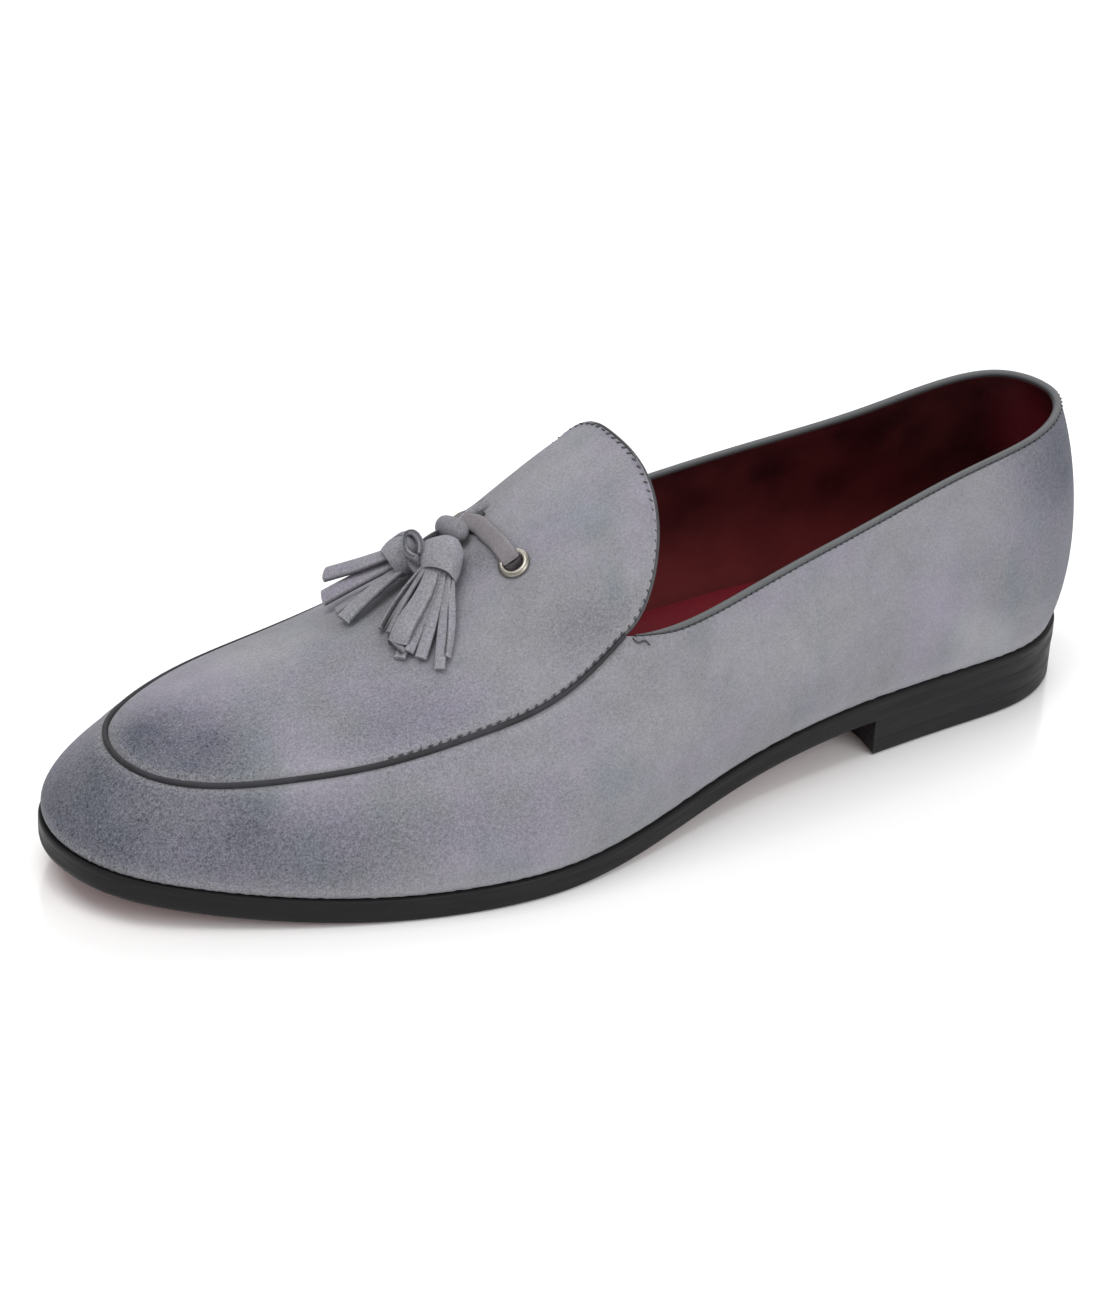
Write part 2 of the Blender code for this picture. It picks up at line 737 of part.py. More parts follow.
def knot_frame():
    """Middle of the knot, the direction square to the apron there, forward and sideways."""
    point, normal = on_apron(KNOT_ALONG, KNOT_REACH, -1.0)
    forward, sideways = axes_from(normal, np.array([1.0, 0.0, 0.0]))
    lift = CLEARANCE + EYELET_SEAT + LACE_THICKNESS + KNOT_SEAT + KNOT_HEIGHT / 2
    return point + normal * lift, normal, forward, sideways


def make_knot():
    """Knot of the lace: a rounded roll of suede lying over the crossing."""
    middle, normal, forward, sideways = knot_frame()
    rings = []
    for place, size in zip(KNOT_ROLL["along"], KNOT_ROLL["size"]):
        centre = middle + sideways * place * KNOT_WIDTH / 2
        long_way = forward * KNOT_LENGTH / 2 * size
        high_way = normal * KNOT_HEIGHT / 2 * size
        rings.append([centre + long_way * math.cos(a) + high_way * math.sin(a) for a in circle(KNOT_CORNERS)])
    points, faces = swept(rings)
    return add_object("lace_knot", points, faces, "suede", sharp=60)


def tassel_line(spec, turn, start, end, lift):
    """Points above the apron on a straight run in plan from a tassel's neck."""
    angle = math.radians(turn)
    x = spec["along"] * LAST_LENGTH
    y = spec["sideways"] * BALL_WIDTH
    path = []
    normals = []
    for reach in np.linspace(start, end, STRIP_STEPS + 1):
        point, normal = above_apron(x + reach * math.cos(angle), y + reach * math.sin(angle), lift)
        path.append(point)
        normals.append(normal)
    return path, normals


def make_tassel(name, spec):
    """Tassel: a wrapped head with strips of suede fused into it."""
    middle_lift = CLEARANCE * 2 + HEAD_RADIUS * HEAD_FLATNESS
    path, normals = tassel_line(spec, spec["turn"], 0.0, HEAD_LENGTH, middle_lift)
    forward = unit(path[-1] - path[0])
    normal = unit(sum(normals))
    sideways = np.cross(normal, forward)
    rings = []
    for place, size in zip(HEAD["along"], HEAD["size"]):
        centre = path[0] + forward * place * HEAD_LENGTH
        broad_way = sideways * HEAD_RADIUS * size
        high_way = normal * HEAD_RADIUS * HEAD_FLATNESS * size
        rings.append([centre + broad_way * math.cos(a) + high_way * math.sin(a)
                      for a in circle(HEAD_CORNERS)])
    points, faces = swept(rings)
    head = add_object(name, points, faces, "suede", sharp=50)
    lowest = 2 * CLEARANCE + STRIP_THICKNESS / 2
    for i in range(STRIP_COUNT):
        way = 2 * i / (STRIP_COUNT - 1) - 1
        layer = i % 2
        lift = lowest + layer * (STRIP_THICKNESS + CLEARANCE)
        turn = spec["turn"] + spec["fan"] * way
        reach = HEAD_LENGTH + spec["length"] * (1 - STRIP_STAGGER * (i % 3))
        line, upward = tassel_line(spec, turn, STRIP_ROOT, reach, lift)
        root_lift = (2 * layer - 1) * ROOT_LIFT
        line[0] = path[0] + forward * STRIP_ROOT + sideways * way * ROOT_SPREAD + normal * root_lift
        strip_points, strip_faces = swept(flat_bar(line, upward, STRIP_WIDTH, STRIP_THICKNESS))
        strip = add_object(f"{name}_strip_{i}", strip_points, strip_faces, "suede")
        strip.hide_render = True
        strip.display_type = "WIRE"
        fuse = head.modifiers.new(f"strip_{i}", "BOOLEAN")
        fuse.operation = "UNION"
        fuse.solver = "EXACT"
        fuse.object = strip
    return head


for old in list(bpy.data.objects):
    bpy.data.objects.remove(old, do_unlink=True)

materials = {name: make_material(name, *look) for name, look in LOOKS.items()}
shoe = bpy.data.objects.new("shoe", None)
bpy.context.scene.collection.objects.link(shoe)
shoe.location = (-HEEL_BREAST * LAST_LENGTH / 2, 0.0, 0.0)

make_outsole()
make_heel()
make_insole()
make_upper()
apron_piece = make_apron()
make_piping()
make_binding()
for eyelet_name, eyelet_side in (("eyelet_outer", 1.0), ("eyelet_inner", -1.0)):
    eyelet_centre, eyelet_normal = make_eyelet(eyelet_name, eyelet_side)
    cut_eyelet_hole(apron_piece, f"{eyelet_name}_hole", eyelet_centre, eyelet_normal)
make_lace()
make_knot()
for tassel_name, tassel_spec in TASSELS.items():
    make_tassel(tassel_name, tassel_spec)
bpy.context.view_layer.update()
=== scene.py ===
"""Looks of a left tassel loafer in grey suede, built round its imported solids.

Metres, +X to the toe, +Y to the outer side, +Z up. The shoe's surfaces are read from the
ribs of its last, which climb from the feather edge to the crown. Places on the shoe are
given on the last, whose x starts at the heel end, and each piece is shifted into the
row's frame when its mesh is made.
"""

import logging
import math
from dataclasses import dataclass
from enum import Enum

import bmesh
import bpy
import numpy as np
from mathutils import Matrix, Vector


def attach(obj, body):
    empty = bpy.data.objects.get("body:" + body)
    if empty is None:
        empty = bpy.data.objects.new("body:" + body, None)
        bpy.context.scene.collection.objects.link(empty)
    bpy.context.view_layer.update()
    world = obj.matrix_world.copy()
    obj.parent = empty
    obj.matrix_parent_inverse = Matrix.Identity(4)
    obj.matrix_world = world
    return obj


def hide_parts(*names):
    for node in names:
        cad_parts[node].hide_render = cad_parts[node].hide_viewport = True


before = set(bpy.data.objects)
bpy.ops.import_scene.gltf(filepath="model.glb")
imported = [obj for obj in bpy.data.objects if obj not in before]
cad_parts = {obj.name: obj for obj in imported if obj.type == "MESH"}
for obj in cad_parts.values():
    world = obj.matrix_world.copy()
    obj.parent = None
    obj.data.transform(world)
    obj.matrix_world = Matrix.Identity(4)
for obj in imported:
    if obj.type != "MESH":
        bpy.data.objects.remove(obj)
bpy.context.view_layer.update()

log = logging.getLogger("loafer")
Array = np.ndarray
Piece = bpy.types.Object
Material = bpy.types.Material
Point = tuple[float, float, float]
Colour = tuple[float, float, float]
Faces = list[tuple[int, ...]]
MM = 0.001
SAME_PLACE = 0.00001
LINING_GAP = 0.00004
STRIP_CORNERS = 9


class Side(Enum):
    """Side of the shoe, with its sign across the row."""

    OUTER = 1.0
    INNER = -1.0


def table(columns: str, *rows: tuple[float, ...]) -> dict[str, Array]:
    """Rows of numbers under named columns.

    Args:
        columns: names of the columns, with spaces between them.
        rows: one row of numbers for each section or place.

    Returns:
        The column of numbers for each name.
    """
    return dict(zip(columns.split(), np.array(rows, dtype=float).T))


OUTLINE = table(
    "along outer inner",
    (0.000, 0.000, 0.000),
    (0.030, 0.148, 0.172),
    (0.090, 0.236, 0.232),
    (0.170, 0.264, 0.260),
    (0.300, 0.304, 0.283),
    (0.420, 0.361, 0.311),
    (0.540, 0.463, 0.383),
    (0.640, 0.513, 0.467),
    (0.740, 0.480, 0.488),
    (0.840, 0.391, 0.430),
    (0.920, 0.291, 0.323),
    (0.975, 0.186, 0.198),
    (1.000, 0.000, 0.000),
)
CROWN = table(
    "along height sideways",
    (0.16, 1.010, 0.000),
    (0.40, 0.995, -0.018),
    (0.52, 0.862, -0.023),
    (0.60, 0.706, -0.021),
    (0.68, 0.560, -0.018),
    (0.76, 0.475, -0.014),
    (0.84, 0.441, -0.010),
)
RIB = table(
    "along wall dome bulge bulge_height",
    (0.00, 3.10, 3.20, 1.70, 0.34),
    (0.16, 2.00, 2.00, 1.10, 0.31),
    (0.45, 2.90, 2.50, 0.90, 0.15),
    (0.62, 2.18, 1.88, 0.65, 0.11),
    (0.78, 2.10, 2.02, 0.60, 0.10),
    (1.00, 1.53, 2.02, 0.70, 0.10),
)
COLLAR = table(
    "along height",
    (0.00, 1.000),
    (0.10, 0.948),
    (0.22, 0.872),
    (0.36, 0.792),
    (0.48, 0.731),
    (0.60, 0.738),
)
SEAM = table(
    "along height",
    (0.60, 0.482),
    (0.68, 0.403),
    (0.76, 0.359),
    (0.84, 0.342),
    (0.92, 0.338),
    (1.00, 0.352),
)

# Soft troughs and ridges of the suede in millimetres on the last: middle, the way the
# fold runs, how long and wide it is, and how far it stands out
FOLDS = table(
    "x y z dx dy dz length width depth",
    (172, 44, 30, 1.0, 0.2, 0.5, 22, 6, -0.35),
    (150, 40, 38, 1.0, 0.3, 0.6, 18, 5, 0.30),
    (128, 36, 34, 1.0, 0.1, -0.4, 20, 6, -0.30),
    (108, 33, 40, 1.0, 0.1, -0.3, 24, 7, 0.28),
    (84, 30, 36, 0.9, 0.0, 0.5, 18, 7, -0.25),
    (46, 28, 30, 1.0, 0.0, -0.2, 22, 8, -0.30),
    (20, 20, 48, 0.3, 0.2, 1.0, 18, 7, -0.35),
    (206, 40, 24, 1.0, -0.2, 0.3, 20, 6, 0.25),
    (192, -46, 24, 1.0, 0.2, 0.3, 22, 6, -0.30),
    (140, -34, 34, 1.0, -0.3, 0.5, 24, 6, -0.35),
    (96, -30, 38, 1.0, 0.0, -0.4, 24, 7, 0.30),
    (204, 8, 54, 0.2, 1.0, -0.2, 14, 5, -0.30),
    (216, -12, 48, 0.1, 1.0, -0.2, 16, 5, -0.25),
    (262, 6, 41, 0.6, 0.8, 0.0, 12, 6, -0.35),
    (244, 22, 38, 0.9, -0.4, -0.3, 14, 6, 0.20),
)


def smooth_curve(knots: Array, values: Array, at: Array) -> Array:
    """Natural cubic spline through the knots, held flat past both ends.

    Args:
        knots: places of the known values, rising.
        values: the known values.
        at: places to read.

    Returns:
        The curve's values there.
    """
    knots = np.asarray(knots, dtype=float)
    values = np.asarray(values, dtype=float)
    at = np.asarray(at, dtype=float)
    step = np.diff(knots)
    count = len(knots)
    system = np.eye(count)
    right = np.zeros(count)
    for i in range(1, count - 1):
        system[i, i - 1:i + 2] = step[i - 1], 2 * (step[i - 1] + step[i]), step[i]
        right[i] = 6 * ((values[i + 1] - values[i]) / step[i] - (values[i] - values[i - 1]) / step[i - 1])
    bend = np.linalg.solve(system, right)
    span = np.clip(np.searchsorted(knots, at) - 1, 0, count - 2)
    b = np.clip((at - knots[span]) / step[span], 0, 1)
    a = 1 - b
    curve = a * values[span] + b * values[span + 1]
    return curve + ((a ** 3 - a) * bend[span] + (b ** 3 - b) * bend[span + 1]) * step[span] ** 2 / 6


def way_along(points: Array) -> Array:
    """Distance along a line at each of its points."""
    return np.concatenate([[0], np.cumsum(np.linalg.norm(np.diff(points, axis=0), axis=1))])


def apart(points: Array, gap: float = 0.0002) -> Array:
    """Which points of a line are further than a gap from the one before, always with the first."""
    return np.concatenate([[True], np.linalg.norm(np.diff(points, axis=0), axis=1) > gap])


def smooth_path(points: Array, count: int) -> Array:
    """Smooth line through a few points.

    Args:
        points: the points, one a row.
        count: how many points the line has.

    Returns:
        The line's points, evenly spread by the share of the way.
    """
    points = np.asarray(points, dtype=float)
    knots = way_along(points)
    at = np.linspace(0, knots[-1], count)
    return np.stack([smooth_curve(knots, points[:, k], at) for k in range(3)], -1)


def unit(vectors: Array) -> Array:
    """Vectors of length one."""
    return vectors / np.maximum(np.linalg.norm(vectors, axis=-1, keepdims=True), 1e-12)


def smooth_step(value: Array) -> Array:
    """Soft ramp from 0 to 1."""
    value = np.clip(value, 0, 1)
    return value * value * (3 - 2 * value)


def hump(away: Array, reach: float) -> Array:
    """1 at no distance, fading to 0 past a reach."""
    return np.exp(-(away / reach) ** 2)


@dataclass(frozen=True)
class Last:
    """The last that the shoe is made on, with the lines drawn on it."""

    length: float = 0.292
    ball: float = 0.101
    instep: float = 0.101
    collar: float = 0.0805
    swell: float = 0.0024
    breast: float = 0.262
    tread_start: float = 0.622
    tread_end: float = 0.740
    junction: float = 0.547
    tongue_top: float = 0.487
    heel_fan: float = 0.170
    toe_fan: float = 0.839
    fan_blend: float = 0.050
    toe_swing: float = -0.026
    heel_tuck: float = 0.0034
    heel_tuck_end: float = 0.10
    heel_height: float = 0.0102
    toe_spring: float = 0.0088
    sole: float = 0.0063
    clearance: float = 0.0003

    @staticmethod
    def turn_of(along: Array) -> Array:
        """Angle round the outline, 0 at the heel and pi at the toe."""
        return np.arccos(1 - 2 * np.asarray(along, dtype=float))

    def sole_underside(self, x: Array) -> Array:
        """Height of the sole's underside: heel seat, arch, flat tread and toe spring.

        Args:
            x: places along the last, in metres.

        Returns:
            Heights above the floor.
        """
        along = np.clip(x / self.length, 0, 1)
        arch = np.clip((self.tread_start - along) / (self.tread_start - self.breast), 0, 1)
        lift = self.heel_height * (0.82 * arch ** 2 * (3 - 2 * arch) + 0.18 * arch ** 1.2)
        toe = np.clip((along - self.tread_end) / (1 - self.tread_end), 0, 1)
        return np.where(along < self.tread_end, lift, self.toe_spring * toe ** 1.9)

    def sole_top(self, x: Array) -> Array:
        """Height of the sole's upper face."""
        return self.sole_underside(x) + self.sole

    def feather_edge(self, turn: Array, side: Array) -> Array:
        """Feather edge in plan, side 1 on the outer and -1 on the inner side.

        Args:
            turn: angles round the outline.
            side: 1 on the outer and -1 on the inner side, for each angle.

        Returns:
            Points in plan.
        """
        along = (1 - np.cos(turn)) / 2
        knots = self.turn_of(OUTLINE["along"])
        outer = smooth_curve(knots, OUTLINE["outer"], turn)
        inner = smooth_curve(knots, OUTLINE["inner"], turn)
        sideways = side * np.where(side > 0, outer, inner) + self.toe_swing * along ** 3
        tuck = self.heel_tuck * np.clip(1 - along / self.heel_tuck_end, 0, 1) ** 2
        return np.stack([along * self.length + tuck, sideways * self.ball], -1)

    def outline(self, turn: Array, side: Array, margin: float) -> Array:
        """Feather edge moved outwards in plan.

        Args:
            turn: angles round the outline.
            side: 1 or -1 for each angle.
            margin: how far outwards, in metres.

        Returns:
            Points in plan.
        """
        nudge = 0.002
        tangent = self.feather_edge(turn + nudge, side) - self.feather_edge(turn - nudge, side)
        outward = unit(np.stack([-tangent[:, 1], tangent[:, 0]], -1) * side[:, None])
        ends = (turn < nudge) | (turn > math.pi - nudge)
        outward[ends] = np.stack([-np.cos(turn[ends]), np.zeros(ends.sum())], -1)
        return self.feather_edge(turn, side) + margin * outward

    def crown_height(self, x: Array) -> Array:
        """Height of the crown of the last."""
        return smooth_curve(CROWN["along"], CROWN["height"], x / self.length) * self.instep

    def collar_line(self, along: Array) -> Array:
        """Height of the top line of the quarters."""
        return smooth_curve(COLLAR["along"], COLLAR["height"], along) * self.collar

    def seam_line(self, along: Array) -> Array:
        """Height of the apron seam, which starts from the collar at the junction.

        Args:
            along: shares of the last's length.

        Returns:
            Heights above the floor.
        """
        knots = np.concatenate([[self.junction], SEAM["along"]])
        start = self.collar_line(np.array(self.junction))
        return smooth_curve(knots, np.concatenate([[start], SEAM["height"] * self.instep]), along)

    def ribs(self, turn: Array, side: Array) -> "Ribs":
        """Ribs of the last, one for each turn and side."""
        return Ribs(self, np.asarray(turn, dtype=float), np.asarray(side, dtype=float))


class Ribs:
    """Ribs of the last from the feather edge to the crown."""

    def __init__(self, last: Last, turn: Array, side: Array) -> None:
        """Works out each rib's foot, crown and shape.

        Args:
            last: the last that they belong to.
            turn: angle round the outline for each rib.
            side: 1 on the outer side and -1 on the inner side.
        """
        self.last = last
        self.turn = turn
        self.side = side
        self.foot = last.feather_edge(turn, side)
        self.along = self.foot[:, 0] / last.length
        x = self.clamp(self.foot[:, 0])
        sideways = smooth_curve(CROWN["along"], CROWN["sideways"], x / last.length)
        self.crown = np.stack([x, sideways * last.ball], -1)
        self.low = last.sole_top(self.foot[:, 0]) + last.clearance
        self.high = last.crown_height(x)
        nudge = 0.001
        self.slope = (last.crown_height(x + nudge) - last.crown_height(x - nudge)) / (2 * nudge)
        self.slope[x < last.breast * last.length] = 0
        self.wall = smooth_curve(RIB["along"], RIB["wall"], self.along)[:, None]
        self.dome = smooth_curve(RIB["along"], RIB["dome"], self.along)[:, None]
        self.bulge = smooth_curve(RIB["along"], RIB["bulge"], self.along)[:, None] * last.swell
        self.swell_height = smooth_curve(RIB["along"], RIB["bulge_height"], self.along)[:, None] * last.collar

    def clamp(self, x: Array) -> Array:
        """Crown end of a rib, held softly between the middles of the two fans.

        Args:
            x: places of the ribs' feet, in metres.

        Returns:
            Places of their crown ends.
        """
        last = self.last
        low, high, blend = (share * last.length for share in (last.heel_fan, last.toe_fan, last.fan_blend))
        held = (x + low + np.sqrt((x - low) ** 2 + blend ** 2)) / 2
        return (held + high - np.sqrt((held - high) ** 2 + blend ** 2)) / 2

    def share_of(self, height: Array) -> Array:
        """Height above the floor as a share of each rib's climb."""
        return np.clip((height - self.low) / (self.high - self.low), 0, 1)

    def reach_of(self, share: Array) -> Array:
        """How far out from the crown a rib is at a share of its climb."""
        return (1 - share ** self.wall[:, 0]) ** (1 / self.dome[:, 0])

    def at_share(self, share: Array) -> Array:
        """Points at shares of the climb, one row of points for each rib."""
        return self.points(share, (1 - share ** self.wall) ** (1 / self.dome))

    def at_reach(self, reach: Array) -> Array:
        """Points at shares of the way out from the crown, one row for each rib."""
        return self.points((1 - reach ** self.dome) ** (1 / self.wall), reach)

    def points(self, share: Array, reach: Array) -> Array:
        """Points of the ribs from both shares.

        Args:
            share: shares of the climb, one row for each rib.
            reach: shares of the way out from the crown, likewise.

        Returns:
            The points.
        """
        spoke = self.foot - self.crown
        length = np.linalg.norm(spoke, axis=1)[:, None]
        climb = share * (self.high - self.low)[:, None]
        swell = self.bulge * climb / self.swell_height * np.exp(1 - climb / self.swell_height)
        out = length * reach + swell * np.minimum(1, 4 * (1 - share))
        plan = self.crown[:, None, :] + (spoke / length)[:, None, :] * out[..., None]
        tilt = self.slope[:, None] * (plan[..., 0] - self.crown[:, None, 0]) * share ** 2
        return np.concatenate([plan, (self.low[:, None] + climb + tilt)[..., None]], -1)

    def normals(self, reach: Array) -> Array:
        """Directions square to the last's surface at shares of the way out.

        Args:
            reach: one row of shares for each rib.

        Returns:
            Unit directions.
        """
        nudge = 0.004
        lines = []
        for step in (nudge, -nudge):
            turn = self.turn + step
            past = turn > math.pi
            side = np.where(past, -self.side, self.side)
            ribs = self.last.ribs(np.where(past, 2 * math.pi - turn, turn), side)
            lines.append(ribs.at_reach(reach))
        onward = lines[0] - lines[1]
        down = self.at_reach(np.minimum(reach + nudge, 1)) - self.at_reach(np.maximum(reach - nudge, 0))
        return unit(np.cross(onward, down) * self.side[:, None, None])

    def crown_normals(self) -> Array:
        """Direction square to the last's surface at the crown."""
        return unit(np.stack([-self.slope, np.zeros_like(self.slope), np.ones_like(self.slope)], -1))


def folds_at(points: Array) -> Array:
    """How far the suede stands out at each point, from the listed folds.

    Args:
        points: points on the last.

    Returns:
        One distance for each point, in metres.
    """
    height = np.zeros(points.shape[:-1])
    for i in range(len(FOLDS["x"])):
        row = {name: values[i] for name, values in FOLDS.items()}
        away = points / MM - np.array([row["x"], row["y"], row["z"]])
        way = unit(np.array([row["dx"], row["dy"], row["dz"]]))
        onward = away @ way
        across = (away ** 2).sum(-1) - onward ** 2
        fade = np.exp(-(onward / row["length"]) ** 2 - across / row["width"] ** 2)
        height += row["depth"] * MM * fade
    return height


def there_and_back(turns: Array, closed: bool = False) -> tuple[Array, Array]:
    """Turns and sides of a run down the outer side and back on the inner side.

    Args:
        turns: angles round the outline of one side.
        closed: whether the run is a loop, so that its first station isn't repeated.

    Returns:
        The turn and the side of each station.
    """
    back = turns[-2:0:-1] if closed else turns[-2::-1]
    return np.concatenate([turns, back]), np.repeat([1.0, -1.0], [len(turns), len(back)])


def sheet_normals(grid: Array, closed: bool) -> Array:
    """Directions square to a grid of points, pointing out of the shoe.

    Args:
        grid: the points, stations by rows.
        closed: whether the stations run round in a loop.

    Returns:
        Unit directions.
    """
    if closed:
        along = np.roll(grid, -1, axis=0) - np.roll(grid, 1, axis=0)
    else:
        along = np.gradient(grid, axis=0)
    return unit(np.cross(np.gradient(grid, axis=1), along))


def circle(corners: int) -> Array:
    """Angles of evenly spaced corners round a circle."""
    return np.arange(corners) * 2 * math.pi / corners


def linked(name: str, data: bpy.types.ID) -> Piece:
    """New object in the scene.

    Args:
        name: its name.
        data: its data.

    Returns:
        The object.
    """
    made = bpy.data.objects.new(name, data)
    bpy.context.scene.collection.objects.link(made)
    return made


class Mesher:
    """Gathers points, faces, material numbers and values at points for one piece."""

    def __init__(self) -> None:
        """Starts with nothing."""
        self.points: list[Array] = []
        self.faces: Faces = []
        self.slots: list[int] = []
        self.values: dict[str, list[Array]] = {}
        self.count = 0

    def add(self, points: Array, faces: Faces, slot: int = 0, **values: Array) -> None:
        """Adds one body.

        Args:
            points: its points.
            faces: its faces, numbered from its own first point.
            slot: the number of its material.
            values: one number for each point under each name.
        """
        points = np.asarray(points, dtype=float).reshape(-1, 3)
        self.faces += [tuple(int(n) + self.count for n in face) for face in faces]
        self.slots += [slot] * len(faces)
        for name, numbers in values.items():
            self.values.setdefault(name, []).append(np.asarray(numbers, dtype=float).reshape(-1))
        self.points.append(points)
        self.count += len(points)

    def piece(self, name: str, finishes: "list[Finish]", sharp: float = 40.0) -> Piece:
        """Makes the object, moved to the row's frame with its place in its mesh.

        Args:
            name: the piece's name.
            finishes: its finishes, in the order of their material numbers.
            sharp: edges over this many degrees stay sharp.

        Returns:
            The object.
        """
        points = np.concatenate(self.points) + TO_ROW
        mesh = bpy.data.meshes.new(name)
        mesh.from_pydata(points.tolist(), [], self.faces)
        mesh.polygons.foreach_set("material_index", self.slots)
        for title, numbers in self.values.items():
            layer = mesh.attributes.new(title, "FLOAT", "POINT")
            layer.data.foreach_set("value", np.concatenate(numbers))
        bm = bmesh.new()
        bm.from_mesh(mesh)
        bmesh.ops.remove_doubles(bm, verts=bm.verts, dist=SAME_PLACE)
        bmesh.ops.dissolve_degenerate(bm, edges=bm.edges, dist=SAME_PLACE)
        bmesh.ops.recalc_face_normals(bm, faces=bm.faces)
        bm.to_mesh(mesh)
        bm.free()
        mesh.shade_smooth()
        mesh.set_sharp_from_angle(angle=math.radians(sharp))
        for finish in finishes:
            mesh.materials.append(finish.material())
        return linked(name, mesh)


def strip_of_quads(first: Array, second: Array, closed: bool) -> Faces:
    """Faces between two lines of point numbers.

    Args:
        first: one line of numbers.
        second: the other line.
        closed: whether the lines are loops.

    Returns:
        The faces.
    """
    count = len(first)
    last = count if closed else count - 1
    return [(first[i], first[(i + 1) % count], second[(i + 1) % count], second[i]) for i in range(last)]


def thick_sheet(outer: Array, inner: Array, closed: bool, crown_joined: bool) -> tuple[Array, Faces]:
    """Wall between two grids of points.

    Args:
        outer: grid on the outside, stations by rows.
        inner: the same grid on the inside.
        closed: whether the stations run round in a loop.
        crown_joined: whether the last row is the crown, where two halves meet.

    Returns:
        Points and faces.
    """
    columns, rows = outer.shape[:2]
    number = np.arange(columns * rows).reshape(columns, rows)
    shift = columns * rows
    faces: Faces = []
    for j in range(rows - 1):
        faces += strip_of_quads(number[:, j], number[:, j + 1], closed)
        faces += strip_of_quads(number[:, j + 1] + shift, number[:, j] + shift, closed)
    faces += strip_of_quads(number[:, 0] + shift, number[:, 0], closed)
    if not crown_joined:
        faces += strip_of_quads(number[:, -1], number[:, -1] + shift, closed)
    return np.concatenate([outer.reshape(-1, 3), inner.reshape(-1, 3)]), faces


def swept(rings: Array, closed_path: bool = False) -> tuple[Array, Faces]:
    """Bar through rings of points, with flat ends unless its path is closed.

    Args:
        rings: one ring of points for each place on the path.
        closed_path: whether the path is a loop.

    Returns:
        Points and faces.
    """
    rings = np.asarray(rings)
    count, size = rings.shape[:2]
    number = np.arange(count * size).reshape(count, size)
    faces: Faces = []
    for i in range(count if closed_path else count - 1):
        faces += strip_of_quads(number[i], number[(i + 1) % count], True)
    if not closed_path:
        faces += [tuple(number[0][::-1]), tuple(number[-1])]
    return rings.reshape(-1, 3), faces


class Wire:
    """One socket of a shader tree, with sums written as Python expressions."""

    def __init__(self, tree: "Tree", socket: bpy.types.NodeSocket) -> None:
        """Keeps the socket and the tree that it is in."""
        self.tree = tree
        self.socket = socket

    def sum(self, operation: str, *values: "Wire | float") -> "Wire":
        """A Math node on the values."""
        return self.tree.node("ShaderNodeMath", {"operation": operation}, dict(enumerate(values)))

    def __add__(self, other: "Wire | float") -> "Wire":
        """Self plus other."""
        return self.sum("ADD", self, other)

    def __radd__(self, other: float) -> "Wire":
        """Other plus self."""
        return self.sum("ADD", other, self)

    def __sub__(self, other: "Wire | float") -> "Wire":
        """Self minus other."""
        return self.sum("SUBTRACT", self, other)

    def __rsub__(self, other: float) -> "Wire":
        """Other minus self."""
        return self.sum("SUBTRACT", other, self)

    def __mul__(self, other: "Wire | float") -> "Wire":
        """Self times other."""
        return self.sum("MULTIPLY", self, other)

    def __rmul__(self, other: float) -> "Wire":
        """Other times self."""
        return self.sum("MULTIPLY", other, self)

    def most(self, other: "Wire | float") -> "Wire":
        """The larger of two values."""
        return self.sum("MAXIMUM", self, other)

    def ramp(self, low: float, high: float, to_low: float = 0.0, to_high: float = 1.0) -> "Wire":
        """Soft ramp between two values.

        Args:
            low: where the ramp starts.
            high: where it ends.
            to_low: its value at the start.
            to_high: its value at the end.

        Returns:
            The ramp's value.
        """
        settings = {"interpolation_type": "SMOOTHSTEP"}
        values = {"Value": self, "From Min": low, "From Max": high, "To Min": to_low, "To Max": to_high}
        return self.tree.node("ShaderNodeMapRange", settings, values)


